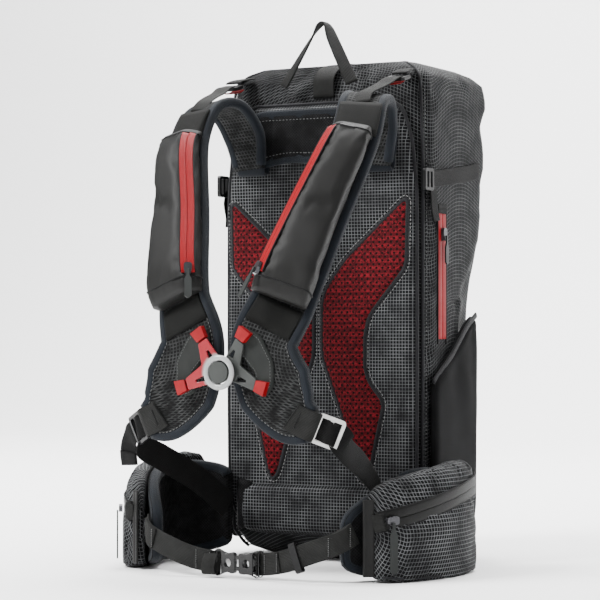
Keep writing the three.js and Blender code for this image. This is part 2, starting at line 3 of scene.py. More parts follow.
import bmesh
import bpy
import numpy as np
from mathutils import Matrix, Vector


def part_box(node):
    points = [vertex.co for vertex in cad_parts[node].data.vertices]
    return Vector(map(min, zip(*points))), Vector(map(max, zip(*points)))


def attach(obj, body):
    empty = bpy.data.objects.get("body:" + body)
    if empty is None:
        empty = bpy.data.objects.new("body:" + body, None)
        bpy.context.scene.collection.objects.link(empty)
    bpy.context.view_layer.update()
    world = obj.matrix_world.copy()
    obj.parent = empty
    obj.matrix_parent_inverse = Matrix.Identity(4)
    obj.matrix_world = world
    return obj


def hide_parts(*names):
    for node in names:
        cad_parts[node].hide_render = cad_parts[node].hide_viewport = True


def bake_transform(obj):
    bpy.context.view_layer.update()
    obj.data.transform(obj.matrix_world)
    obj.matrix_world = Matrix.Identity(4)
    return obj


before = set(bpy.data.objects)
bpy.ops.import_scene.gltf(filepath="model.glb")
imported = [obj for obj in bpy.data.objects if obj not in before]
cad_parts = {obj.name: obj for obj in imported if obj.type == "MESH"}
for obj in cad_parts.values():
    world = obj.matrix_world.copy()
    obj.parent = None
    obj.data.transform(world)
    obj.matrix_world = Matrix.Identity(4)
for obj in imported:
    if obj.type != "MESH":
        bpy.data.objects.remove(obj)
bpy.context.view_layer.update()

# ---- camera and studio ----
# A long lens held low at the harness side, on the wearer's left, over a pale paper sweep that
# rises behind the pack and has its own light. A large softbox from the upper left and a weaker
# one from the right light the pack.
DEPTH_SHIFT = 24    # millimetres from the bag's own Y to the shared frame's


def place(x, y, z):
    return Vector((x, y + DEPTH_SHIFT, z)) / 1000


def link(thing):
    bpy.context.scene.collection.objects.link(thing)
    return thing


camera_data = bpy.data.cameras.new("camera")
camera_data.lens = 131
camera_data.sensor_width = 36
camera = link(bpy.data.objects.new("camera", camera_data))
camera.location = place(1221, -2296, 273)
camera.rotation_euler = Vector((-0.4786, 0.878, 0.0148)).to_track_quat("-Z", "Y").to_euler()
bpy.context.scene.camera = camera


def softbox(name, location, power, size, target=(0, 0, 0.3)):
    data = bpy.data.lights.new(name, "AREA")
    data.energy = power
    data.size = size
    lamp = link(bpy.data.objects.new(name, data))
    lamp.location = location
    lamp.rotation_euler = (Vector(target) - lamp.location).to_track_quat("-Z", "Y").to_euler()


softbox("key_light", (-1.6, -2.0, 2.5), 230, 1.0)
softbox("side_light", (2.6, -1.6, 1.2), 15, 1.2)
softbox("top_light", (0.2, 0.9, 2.8), 90, 2.0)
softbox("sweep_light", (-0.6, 1.2, 3.4), 420, 2.4, target=(-1.4, 3.4, 0.6))
room = bpy.data.worlds.new("room")
room.use_nodes = True
room.node_tree.nodes["Background"].inputs["Color"].default_value = (1, 1, 1, 1)
room.node_tree.nodes["Background"].inputs["Strength"].default_value = 0.7
bpy.context.scene.world = room

bend = [(2.6 + 1.4 * math.sin(a), 1.4 - 1.4 * math.cos(a)) for a in np.linspace(0, math.pi / 2, 16)]
profile = [(-9, 0), *bend, (4.0, 6.0)]
floor_mesh = bpy.data.meshes.new("paper_floor")
floor_mesh.from_pydata([(x, y, z) for y, z in profile for x in (-9, 9)], [],
                       [(2 * k, 2 * k + 1, 2 * k + 3, 2 * k + 2) for k in range(len(profile) - 1)])
floor_mesh.polygons.foreach_set("use_smooth", [True] * len(floor_mesh.polygons))
floor = link(bpy.data.objects.new("paper_floor", floor_mesh))
paper = bpy.data.materials.new("paper")
paper.use_nodes = True
paper.node_tree.nodes["Principled BSDF"].inputs["Base Color"].default_value = (0.96, 0.96, 0.96, 1)
paper.node_tree.nodes["Principled BSDF"].inputs["Roughness"].default_value = 0.9
floor.data.materials.append(paper)

# ---- bag body ----
# The stuffed pack: black ripstop nylon with a pale reinforcing grid, cut as a front, a rear and
# two side walls, sewn together and filled until the cloth stands in soft folds.
SIDES = {"left": 1, "right": -1}    # the wearer's left is +X


def blank(name, roughness, **sockets):
    """A material whose constants sit on the shader's own sockets."""
    material = bpy.data.materials.new(name)
    material.use_nodes = True
    shader = material.node_tree.nodes["Principled BSDF"]
    shader.inputs["Roughness"].default_value = roughness
    for socket, value in sockets.items():
        shader.inputs[socket.replace("_", " ").title().replace("Ior", "IOR")].default_value = value
    return material


def node(material, kind, inputs=None, **settings):
    """A node of the material, with its settings and its inputs: values or other outputs."""
    made = material.node_tree.nodes.new("ShaderNode" + kind)
    for setting, value in settings.items():
        setattr(made, setting, value)
    for socket, value in (inputs or {}).items():
        if isinstance(value, bpy.types.NodeSocket):
            material.node_tree.links.new(value, made.inputs[socket])
        else:
            made.inputs[socket].default_value = value
    return made


def maths(material, operation, first, second=0.0):
    return node(material, "Math", {0: first, 1: second}, operation=operation).outputs[0]


def plus(material, first, second):
    return maths(material, "ADD", first, second)


def times(material, first, second):
    return maths(material, "MULTIPLY", first, second)


def step(material, value, low, high):
    """0 below low, 1 above high and smooth between them."""
    inputs = {"Value": value, "From Min": low, "From Max": high}
    return node(material, "MapRange", inputs, interpolation_type="SMOOTHSTEP").outputs[0]


def mix(material, share, first, second):
    """The second colour over the first, by share."""
    mixed = node(material, "Mix", {0: share}, data_type="RGBA")
    for socket, value in ((6, first), (7, second)):
        if isinstance(value, bpy.types.NodeSocket):
            material.node_tree.links.new(value, mixed.inputs[socket])
        else:
            mixed.inputs[socket].default_value = (*value, 1)
    return mixed.outputs[2]


def cloth_axes(material):
    """The two directions along the cloth, across and along it, in millimetres."""
    split = node(material, "SeparateXYZ", {0: node(material, "UVMap").outputs[0]})
    return split.outputs[0], split.outputs[1]


def grain(material, scale, detail=3.0):
    """Unsteady noise at the given number of spots a metre."""
    inputs = {"Vector": node(material, "TexCoord").outputs["Object"], "Scale": scale, "Detail": detail}
    return node(material, "TexNoise", inputs).outputs["Fac"]


def dress(material, colour, height, depth, roughness=None):
    """Joins colour, relief of the given depth in metres and roughness to the material's shader."""
    shader = material.node_tree.nodes["Principled BSDF"]
    links = material.node_tree.links
    links.new(colour, shader.inputs["Base Color"])
    if roughness is not None:
        links.new(roughness, shader.inputs["Roughness"])
    bump = node(material, "Bump", {"Height": height, "Distance": depth, "Strength": 1.0})
    links.new(bump.outputs[0], shader.inputs["Normal"])
    return material


# The default threads, used by the bag body, are darker than the back panel's and hip pockets' threads of
# the same cloth: painted shade for the bag's walls, which lie in shade.
def grid_ripstop(name, pitch=4.3, line=(0.085, 0.088, 0.09), cloth=(0.003, 0.003, 0.0034)):
    """Fine black cloth crossed by pairs of pale threads that stand a little proud of it."""
    material = blank(name, 0.62, specular_ior_level=0.06)
    across, along = cloth_axes(material)
    threads = []
    dashes = []
    for axis, other in ((across, along), (along, across)):
        wave = maths(material, "PINGPONG", axis, pitch / 2)
        threads.append(step(material, wave, pitch * 0.36, pitch * 0.45))
        dashes.append(maths(material, "PINGPONG", other, 0.42))
    raised = maths(material, "MAXIMUM", threads[0], threads[1])
    dash = plus(material, times(material, threads[0], dashes[0]),
                times(material, threads[1], dashes[1]))
    worn = grain(material, 38.0)
    shade = times(material, raised, step(material, worn, 0.1, 0.75))
    shade = times(material, shade, plus(material, 0.62, dash))
    weave = grain(material, 2400.0, 1.0)
    height = plus(material, raised, dash)
    height = plus(material, height, times(material, weave, 0.3))
    return dress(material, mix(material, shade, cloth, line), height, 0.00022)


def build(name, points, faces, uvs, material, side="left"):
    """A smooth mesh from points in millimetres; the right side's twin is its mirror image."""
    spots = np.array(points, float) * (SIDES[side], 1, 1) + (0, DEPTH_SHIFT, 0)
    volume = 0.0
    for k in (1, 2):
        fans = np.array([(f[0], f[k], f[k + 1]) for f in faces if len(f) > k + 1])
        if len(fans):
            first, second, third = (spots[fans[:, corner]] for corner in range(3))
            volume += np.einsum("ij,ij->", first, np.cross(second, third))
    turn = -1 if volume < 0 else 1    # the faces look outwards
    mesh = bpy.data.meshes.new(name)
    mesh.from_pydata((spots / 1000).tolist(), [], [f[::turn] for f in faces])
    layer = mesh.uv_layers.new(name="cloth")
    corners = [c for face_corners in uvs for c in face_corners[::turn]]
    layer.data.foreach_set("uv", np.array(corners, float).ravel())
    mesh.polygons.foreach_set("use_smooth", [True] * len(mesh.polygons))
    mesh.materials.append(material)
    return link(bpy.data.objects.new(name, mesh))


def skin(name, rings, material, side="left", caps=True):
    """A closed tube of cloth through rings of points; its cloth axes run round and along it."""
    rings = np.array(rings, float)
    rows, count = rings.shape[:2]
    around = np.linalg.norm(np.roll(rings, -1, 1) - rings, axis=2)
    around = np.concatenate([np.zeros((rows, 1)), np.cumsum(around, axis=1)], axis=1)
    lengths = np.linalg.norm(np.diff(rings, axis=0), axis=2)
    lengths = np.concatenate([np.zeros((1, count)), np.cumsum(lengths, axis=0)], axis=0)
    lengths = np.concatenate([lengths, lengths[:, :1]], axis=1)
    points = rings.reshape(-1, 3).tolist()
    faces, uvs = [], []
    for r in range(rows - 1):
        for j in range(count):
            k = (j + 1) % count
            faces.append((r * count + j, r * count + k, (r + 1) * count + k, (r + 1) * count + j))
            corners = ((r, j), (r, j + 1), (r + 1, j + 1), (r + 1, j))
            uvs.append([(around[a][b], lengths[a][b]) for a, b in corners])
    if caps:
        for r in (0, rows - 1):
            middle = rings[r].mean(axis=0)
            points.append(middle.tolist())
            for j in range(count):
                pair = [r * count + j, r * count + (j + 1) % count]
                faces.append((*(pair if r else pair[::-1]), len(points) - 1))
                corners = [rings[r][j], rings[r][(j + 1) % count]]
                corners = [*(corners if r else corners[::-1]), middle]
                uvs.append([(c[0], c[2] + c[1]) for c in corners])
    return build(name, points, faces, uvs, material, side)


def evenly(path, count, closed=False):
    """Rows at even distances along a path; only the first three numbers of a row are its place."""
    path = np.array(list(path) + ([path[0]] if closed else []), float)
    lengths = np.concatenate([[0], np.cumsum(np.linalg.norm(np.diff(path[:, :3], axis=0), axis=1))])
    wanted = np.linspace(0, lengths[-1], count + 1 if closed else count)
    found = np.stack([np.interp(wanted, lengths, path[:, k]) for k in range(path.shape[1])], axis=1)
    return found[:-1] if closed else found


def box_ring(width, depth, radius, count):
    """Points evenly spaced round a rounded rectangle, from the middle of its near side."""
    w, d = width / 2 - radius, depth / 2 - radius
    corners = [(w, -d, -90), (w, d, 0), (-w, d, 90), (-w, -d, 180)]
    outline = [(0, -depth / 2)]
    for x, y, start in corners:
        for turn in range(0, 91, 10):
            angle = math.radians(start + turn)
            outline.append((x + radius * math.cos(angle), y + radius * math.sin(angle)))
    return evenly(outline, count, closed=True)


def numbers(piece):
    found = np.zeros(len(piece.data.vertices) * 3)
    piece.data.vertices.foreach_get("co", found)
    return found.reshape(-1, 3)


SETTLE_FRAMES = 20    # frames in which the cloth comes to rest
MOST_SLIDE = 0.003    # metres a point may slip along the cloth


def let_out(piece, sewn, pressure, spare, outward, inward):
    """Lets cloth billow and crease by simulation between its sewn points, and keeps the result.
    No point moves further than outward or inward, in millimetres, from the pattern."""
    rest = numbers(piece)
    normals = np.zeros(len(rest) * 3)
    piece.data.vertices.foreach_get("normal", normals)
    normals = normals.reshape(-1, 3)
    group = piece.vertex_groups.new(name="sewn")
    group.add([int(v) for v in np.nonzero(sewn)[0]], 1.0, "REPLACE")
    cloth = piece.modifiers.new("cloth", "CLOTH")
    cloth.settings.quality = 5
    cloth.settings.mass = 0.15
    cloth.settings.tension_stiffness = cloth.settings.compression_stiffness = 12
    cloth.settings.bending_stiffness = 0.15
    cloth.settings.use_pressure = True
    cloth.settings.uniform_pressure_force = pressure
    cloth.settings.vertex_group_mass = "sewn"
    cloth.settings.shrink_min = -spare
    cloth.settings.effector_weights.gravity = 0
    for number in range(1, SETTLE_FRAMES + 1):
        bpy.context.scene.frame_set(number)
    shape = piece.evaluated_get(bpy.context.evaluated_depsgraph_get()).to_mesh()
    moved = np.zeros(len(rest) * 3)
    shape.vertices.foreach_get("co", moved)
    moved = moved.reshape(-1, 3) - rest
    piece.modifiers.remove(cloth)
    piece.vertex_groups.remove(group)
    bpy.context.scene.frame_set(1)
    rise = np.einsum("ij,ij->i", moved, normals) * 1000
    sideways = moved - normals * rise[:, None] / 1000
    rise = np.where(rise > 0, outward * np.tanh(rise / outward), inward * np.tanh(rise / inward))
    slide = np.linalg.norm(sideways, axis=1, keepdims=True) + 1e-9
    sideways *= np.tanh(slide / MOST_SLIDE) * MOST_SLIDE / slide
    settled = rest + normals * rise[:, None] / 1000 + sideways
    piece.data.vertices.foreach_set("co", settled.ravel())
    piece.data.update()


bag_low, bag_high = (v * 1000 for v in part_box("main_bag"))
BAG_HALF = bag_high.x
BAG_FRONT = bag_low.y - DEPTH_SHIFT
BAG_REAR = bag_high.y - DEPTH_SHIFT
BAG_TOP = bag_high.z
BACK_TOP = BAG_TOP - 21    # where the back's edge ends and the crown begins
BAG_LEVELS = [    # height, how far in from the widest, front and rear
    (1.5, 50, BAG_FRONT + 46, BAG_REAR - 75), (4, 36, BAG_FRONT + 30, BAG_REAR - 62),
    (14, 15, BAG_FRONT + 11, BAG_REAR - 52), (34, 5, BAG_FRONT, BAG_REAR - 48),
    (85, 2.5, BAG_FRONT, BAG_REAR - 45), (235, 1.5, BAG_FRONT, BAG_REAR - 44),
    (305, 1.5, BAG_FRONT, BAG_REAR - 36), (384, 1, BAG_FRONT, BAG_REAR - 15),
    (470, 1, BAG_FRONT, BAG_REAR - 4), (BACK_TOP - 25, 3, BAG_FRONT, BAG_REAR - 1),
    (BACK_TOP, 7, BAG_FRONT + 4, BAG_REAR - 3), (BAG_TOP - 11, 17, BAG_FRONT + 12, BAG_REAR - 10),
    (BAG_TOP - 3, 34, BAG_FRONT + 26, BAG_REAR - 26), (BAG_TOP, 60, BAG_FRONT + 50, BAG_REAR - 52),
]
BAG_ROWS = 74
BAG_AROUND = 118


def bag_ring(level):
    z, inset, front, rear = level
    half = BAG_HALF - inset
    ring = box_ring(2 * half, rear - front, min(22, (rear - front) / 2.3), BAG_AROUND)
    return [(x, y + (front + rear) / 2, z) for x, y in ring]


levels = evenly(BAG_LEVELS, BAG_ROWS)
bag_rings = [bag_ring(levels[0] + (0, 45, 34, -34)), *[bag_ring(row) for row in levels]]
bag_rings.append(bag_ring(levels[-1] + (0.4, 38, 30, -30)))
# The bag body's copy of the grid cloth, its threads darker than the panel's and hip pockets': painted
# shade.
bag_cloth = grid_ripstop("grid_ripstop")
bag = skin("bag_body", bag_rings, bag_cloth)
spots = numbers(bag) * 1000 - (0, DEPTH_SHIFT, 0)
at_corner = np.abs(np.abs(spots[:, 0]) - BAG_HALF + 8) < 4
at_corner &= np.abs(spots[:, 1] - BAG_FRONT - 8) < 5
sewn = (spots[:, 2] < 30) | (spots[:, 1] < BAG_FRONT + 2) | at_corner
let_out(bag, sewn, pressure=2.2, spare=0.035, outward=1.6, inward=11)
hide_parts("main_bag")
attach(bag, "root")

# ---- bag seams ----
# The bag's front panel meets each side wall in a seam covered by black piping, with a row of
# grey topstitching on the side wall behind it.


def tape(name, colour, rib=1.1, sheen=0.05):
    """Close-ribbed binding tape."""
    material = blank(name, 0.75, sheen_weight=sheen, specular_ior_level=0.15)
    across, along = cloth_axes(material)
    ribs = maths(material, "PINGPONG", along, rib / 2)
    cords = maths(material, "PINGPONG", across, rib)
    height = plus(material, ribs, times(material, cords, 0.4))
    worn = step(material, grain(material, 60.0), 0.25, 0.8)
    return dress(material, mix(material, worn, [c * 0.65 for c in colour], colour), height, 0.0003)


def thread(name, colour):
    """Twisted sewing thread."""
    material = blank(name, 0.7, sheen_weight=0.2)
    twist = grain(material, 1800.0, 1.0)
    return dress(material, mix(material, twist, [c * 0.7 for c in colour], colour), twist, 0.0002)


def cord_tube(name, path, radius, material, side="left", closed=False, pitch=4.0, count=8):
    """A round cord or piping along a path."""
    path = np.array(path, float)
    total = np.linalg.norm(np.diff(path, axis=0), axis=1).sum()
    path = evenly(path, max(4, int(total / pitch)), closed)
    ahead = np.roll(path, -1, 0) - np.roll(path, 1, 0)
    if not closed:
        ahead[0], ahead[-1] = path[1] - path[0], path[-1] - path[-2]
    ahead /= np.linalg.norm(ahead, axis=1)[:, None]
    normal = np.cross(ahead[0], [0.3, 0.5, 0.81])
    rings = []
    for at, forward in zip(path, ahead):
        normal = normal - forward * normal.dot(forward)
        normal /= np.linalg.norm(normal)
        other = np.cross(forward, normal)
        angles = np.arange(count) / count * 2 * math.pi
        rings.append([at + radius * (math.cos(a) * normal + math.sin(a) * other) for a in angles])
    if closed:
        rings.append(rings[0])
    return skin(name, rings, material, side, caps=not closed)


def stitches(name, path, out, material, side="left", length=2.9, gap=1.7, radius=0.5, closed=False):
    """A run of single stitches that lie on the cloth along a path; out points away from it."""
    path = np.array(path, float)
    if closed:
        path = np.vstack([path, path[:1]])
    total = np.linalg.norm(np.diff(path, axis=0), axis=1).sum()
    ends = evenly(path, max(2, 2 * int(total / (length + gap))))
    points, faces = [], []
    out = np.array(out, float)
    for first, last in zip(ends[::2], ends[1::2]):
        forward = last - first
        reach = np.linalg.norm(forward)
        if reach < 0.1:
            continue
        forward = forward / reach
        first = (first + last) / 2 - forward * length / 2
        across = np.cross(forward, out)
        across /= np.linalg.norm(across)
        rise = np.cross(across, forward)
        start = len(points)
        points.append((first - rise * radius * 0.4).tolist())
        for share, size in ((0.18, 0.8), (0.5, 1.0), (0.82, 0.8)):
            at = first + forward * length * share
            for angle in range(0, 360, 60):
                turn = math.radians(angle)
                bulge = across * math.cos(turn) + rise * math.sin(turn)
                points.append((at + bulge * radius * size + rise * radius * 0.3).tolist())
        points.append((first + forward * length - rise * radius * 0.4).tolist())
        for j in range(6):
            k = (j + 1) % 6
            faces.append((start, start + 1 + k, start + 1 + j))
            for r in (0, 6):
                a = start + 1 + r
                faces.append((a + j, a + k, a + 6 + k, a + 6 + j))
            faces.append((start + 13 + j, start + 13 + k, start + 19))
    uvs = [[(points[v][0], points[v][2]) for v in f] for f in faces]
    return build(name, points, faces, uvs, material, side)


piping_tape = tape("black_piping", (0.012, 0.012, 0.014))
white_thread = thread("white_thread", (0.2, 0.2, 0.2))
grey_thread = thread("grey_thread", (0.07, 0.072, 0.072))
for side in SIDES:
    front_seam = [(BAG_HALF - row[1] - 4, row[2] + 2.5, row[0]) for row in levels[5:-1]]
    seam = cord_tube(f"{side}_front_seam", front_seam, 1.9, piping_tape, side)
    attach(seam, "root")
    run = [(x + 1.2, y + 7.5, z) for x, y, z in front_seam]
    topstitch = stitches(f"{side}_front_topstitch", run, (1, 0, 0), grey_thread, side)
    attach(topstitch, "root")

# ---- frame sheet and stays ----
# Behind the back panel lie a moulded plastic sheet and two flat aluminium stays, slipped into a
# sleeve. Nothing of them shows, so they keep their cut shapes.


def moulded(name, colour, roughness=0.45, relief=0.00006, **sockets):
    """Injection-moulded plastic with a fine spark-eroded texture and paler rubbed spots."""
    material = blank(name, roughness, **sockets)
    pits = grain(material, 900.0, 2.0)
    rubbed = step(material, grain(material, 45.0), 0.35, 0.8)
    shade = mix(material, rubbed, [c * 0.8 for c in colour], [min(1, c * 1.15) for c in colour])
    gloss = plus(material, roughness - 0.06, times(material, rubbed, 0.12))
    return dress(material, shade, pits, relief, gloss)


def repaint(cad_node, material, bevel=0.0):
    """The CAD piece keeps its shape, with its sharp edges eased and a material of its own."""
    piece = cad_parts[cad_node]
    piece.data.materials.clear()
    piece.data.materials.append(material)
    if bevel:
        ease = piece.modifiers.new("eased_edges", "BEVEL")
        ease.width = bevel / 1000
        ease.segments = 3
        ease.limit_method = "ANGLE"
        ease.angle_limit = math.radians(28)
        piece.data.polygons.foreach_set("use_smooth", [True] * len(piece.data.polygons))
        piece.modifiers.new("flat_faces", "WEIGHTED_NORMAL")
    return piece


black_plastic = moulded("black_plastic", (0.005, 0.005, 0.0054), 0.4, specular_ior_level=0.22)
aluminium = moulded("brushed_aluminium", (0.6, 0.61, 0.62), 0.32, metallic=1.0)
repaint("frame_sheet", black_plastic, 0.3)
for side in SIDES:
    repaint(f"{side}_frame_stay", aluminium, 0.3)

# ---- back panel ----
# A foam board under the same grid cloth, sewn round its edge and along both mesh cushions. Its
# edge is finished with black piping, and a dark gusset behind it closes the gap to the bag.
PANEL_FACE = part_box("back_panel")[0].y * 1000 - DEPTH_SHIFT
PANEL_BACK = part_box("back_panel")[1].y * 1000 - DEPTH_SHIFT
PANEL_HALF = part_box("back_panel")[1].x * 1000
PANEL_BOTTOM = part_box("back_panel")[0].z * 1000
PANEL_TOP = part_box("back_panel")[1].z * 1000


def rounded(outline, radius, steps=6):
    """A closed outline with its corners turned into curves."""
    outline = np.array(outline, float)
    found = []
    for before, at, after in zip(np.roll(outline, 1, 0), outline, np.roll(outline, -1, 0)):
        to_before, to_after = before - at, after - at
        cut = min(radius, np.linalg.norm(to_before) * 0.45, np.linalg.norm(to_after) * 0.45)
        start = at + to_before / np.linalg.norm(to_before) * cut
        end = at + to_after / np.linalg.norm(to_after) * cut
        for t in np.linspace(0, 1, steps):
            found.append((1 - t) ** 2 * start + 2 * t * (1 - t) * at + t * t * end)
    return np.array(found)


def to_outline(spots, outline):
    """How far each spot is from a closed outline, the outline's nearest point, and if it is inside."""
    first, last = outline, np.roll(outline, -1, 0)
    step_to = last - first
    squared = np.maximum((step_to ** 2).sum(1), 1e-9)
    share = np.einsum("pij,ij->pi", spots[:, None] - first, step_to) / squared
    near = first + share.clip(0, 1)[..., None] * step_to
    far = np.linalg.norm(spots[:, None] - near, axis=2)
    best = far.argmin(1)
    x, y = spots[:, :1], spots[:, 1:]
    crosses = (first[:, 1] > y) != (last[:, 1] > y)
    rise = np.where(np.abs(step_to[:, 1]) < 1e-9, 1e-9, step_to[:, 1])
    crosses &= x < first[:, 0] + (y - first[:, 1]) / rise * step_to[:, 0]
    rows = np.arange(len(spots))
    return far[rows, best], near[rows, best], crosses.sum(1) % 2 == 1


RIM_HEIGHT = 0.8    # how thick a pad is at its sewn edge


def stuffed(name, outline, thick, spot, material, side="left", cell=4.0, rim=6.0, shape=None):
    """A flat-backed pad over an outline, domed within rim of its edge; shape adds to its height.
    spot turns two places in the outline's plane and a height over its back into a point."""
    outline = evenly(outline, max(12, len(outline) * 2), closed=True)
    low, high = outline.min(0), outline.max(0)
    a = np.arange(low[0] - cell / 2, high[0] + cell, cell)
    b = np.arange(low[1] - cell / 2, high[1] + cell, cell)
    middles = np.array([(x + cell / 2, y + cell / 2) for y in b[:-1] for x in a[:-1]])
    held = to_outline(middles, outline)[2].reshape(len(b) - 1, len(a) - 1)
    number, flat, faces = {}, [], []
    for j, i in zip(*np.nonzero(held)):
        face = []
        for q, p in ((j, i), (j, i + 1), (j + 1, i + 1), (j + 1, i)):
            if (q, p) not in number:
                number[q, p] = len(flat)
                flat.append((a[p], b[q]))
            face.append(number[q, p])
        faces.append(tuple(face))
    flat = np.array(flat)
    uses = {}
    for face in faces:
        for v, w in zip(face, face[1:] + face[:1]):
            uses[v, w] = True
    rim_edges = [(v, w) for v, w in uses if (w, v) not in uses]
    at_rim = np.zeros(len(flat), bool)
    at_rim[[v for pair in rim_edges for v in pair]] = True
    flat[at_rim] = to_outline(flat[at_rim], outline)[1]
    neighbours = [[] for _ in flat]
    for v, w in uses:
        neighbours[v].append(w)
        neighbours[w].append(v)
    for _ in range(4):
        eased = np.array([flat[n].mean(0) for n in neighbours])
        flat = np.where(at_rim[:, None], flat, 0.5 * (flat + eased))
    depth = to_outline(flat, outline)[0]
    depth[at_rim] = 0
    dome = np.sqrt(1 - (1 - np.minimum(depth / rim, 1)) ** 2)
    height = RIM_HEIGHT + (thick - RIM_HEIGHT) * dome
    if shape is not None:
        height = height + shape(flat, depth) * dome
    count = len(flat)
    points = [spot(x, y, h) for (x, y), h in zip(flat, height)]
    points += [spot(x, y, 0) for x, y in flat]
    faces = faces + [tuple(v + count for v in f[::-1]) for f in faces]
    faces += [(w, v, v + count, w + count) for v, w in rim_edges]
    uvs = [[tuple(flat[v % count]) for v in f] for f in faces]
    return build(name, points, faces, uvs, material, side)


def band(name, path, out, width, thick, material, side="left", closed=False, square=7, pitch=5.0,
         count=16):
    """Webbing, tape or binding along a path. Its flat side faces out, which is one direction or
    one for each point; its width and thickness are one number each or one for each point.
    Its section is flat with sharp edges where square is high, and round at 2."""
    path = np.array(path, float)
    full = np.ones(len(path))
    rows = np.column_stack([path, full[:, None] * np.array(out, float), full * width, full * thick])
    total = np.linalg.norm(np.diff(path, axis=0), axis=1).sum()
    rows = evenly(rows, max(3, int(total / pitch)), closed)
    if closed:
        rows = np.vstack([rows, rows[:1]])
    at, outs, widths, thicks = rows[:, :3], rows[:, 3:6], rows[:, 6], rows[:, 7]
    forward = np.gradient(at, axis=0)
    if closed:
        forward[0] = forward[-1] = at[1] - at[-2]
    forward /= np.linalg.norm(forward, axis=1)[:, None]
    across = np.cross(forward, outs)
    across /= np.linalg.norm(across, axis=1)[:, None]
    rise = np.cross(across, forward)
    angles = (np.arange(count) + 0.5) / count * 2 * math.pi
    a = np.sign(np.cos(angles)) * np.abs(np.cos(angles)) ** (2 / square)
    b = np.sign(np.sin(angles)) * np.abs(np.sin(angles)) ** (2 / square)
    rings = [p + np.outer(a, x) * w / 2 + np.outer(b, r) * t / 2
             for p, x, r, w, t in zip(at, across, rise, widths, thicks)]
    return skin(name, rings, material, side, caps=not closed)


def beside(outline, distance):
    """A closed outline moved sideways in its own plane, outwards where distance is positive."""
    ahead = np.roll(outline, -1, 0) - np.roll(outline, 1, 0)
    ahead /= np.maximum(np.linalg.norm(ahead, axis=1), 1e-9)[:, None]
    x, y = outline[:, 0], outline[:, 1]
    turn = np.sign(np.sum(x * np.roll(y, -1) - np.roll(x, -1) * y))
    return outline + np.stack([ahead[:, 1], -ahead[:, 0]], 1) * turn * distance


def on_root(piece):
    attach(piece, "root")
    return piece


TO_WEARER = (0, -1, 0)
panel_half = [
    (PANEL_HALF - 34, PANEL_BOTTOM), (PANEL_HALF - 8, PANEL_BOTTOM + 22),
    (PANEL_HALF - 1, PANEL_BOTTOM + 60), (PANEL_HALF, PANEL_BOTTOM + 170),
    (PANEL_HALF, PANEL_TOP - 105), (PANEL_HALF - 6, PANEL_TOP - 45),
    (PANEL_HALF - 18, PANEL_TOP - 10), (PANEL_HALF - 34, PANEL_TOP),
]
panel_outline = rounded(panel_half + [(-x, z) for x, z in reversed(panel_half)], 24)
MESH_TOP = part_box("left_back_mesh")[1].z * 1000
MESH_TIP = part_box("left_back_mesh")[0].z * 1000
mesh_shape = [    # across from the middle, and share of the cushion's height
    (118, 1), (38, 0.786), (13, 0.691), (6, 0.638), (6, 0.445), (39, 0.187), (53, 0.039), (61, 0),
    (68, 0.039), (87, 0.285), (68, 0.353), (62, 0.401), (62, 0.519), (68, 0.588), (116, 0.757),
]
mesh_shape = [(x, MESH_TIP + share * (MESH_TOP - MESH_TIP)) for x, share in mesh_shape]
mesh_outline = rounded(mesh_shape, 9)
mesh_outline = evenly(mesh_outline, 220, closed=True)
mesh_twin = mesh_outline * (-1, 1)


def panel_relief(flat, depth):
    """The foam swells between the seams: low beside the cushions and at the spine's edges."""
    near = np.minimum(to_outline(flat, mesh_outline)[0], to_outline(flat, mesh_twin)[0])
    swell = 2.2 * np.tanh(near / 16) - 1.0
    x, z = flat[:, 0], flat[:, 1]
    ripple = 0.35 * np.sin(x / 17 + np.sin(z / 43) * 2) * np.sin(z / 29 + 0.7)
    return swell + ripple


# The same grid cloth as the bag body, with lighter threads and ground; the bag body's darker copy is
# painted shade.
panel_cloth = grid_ripstop("panel_ripstop", pitch=3.9, line=(0.15, 0.155, 0.16),
                           cloth=(0.0045, 0.0045, 0.005))
panel = stuffed("back_panel_cloth", panel_outline, PANEL_BACK - PANEL_FACE,
                lambda x, z, h: (x, PANEL_BACK - h, z), panel_cloth, cell=5.0, rim=9,
                shape=panel_relief)
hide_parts("back_panel")
on_root(panel)
panel_edge = [(x, PANEL_BACK - 2, z) for x, z in beside(panel_outline, 0.5)]
on_root(cord_tube("back_panel_piping", panel_edge, 2.2, piping_tape, closed=True))
gusset = [(x, (PANEL_BACK + BAG_FRONT) / 2, z) for x, z in beside(panel_outline, -3)]
outward = [(x, 0, z) for x, z in beside(panel_outline, 1) - panel_outline]
on_root(band("back_panel_gusset", gusset, outward, BAG_FRONT - PANEL_BACK + 5, 3, piping_tape,
             closed=True, square=5))

# ---- back mesh cushions ----
# Two swept-back cushions of red spacer mesh over soft foam, one each side of the spine channel,
# held down by dark piping with white topstitching beside it. The knit has rows of open cells.


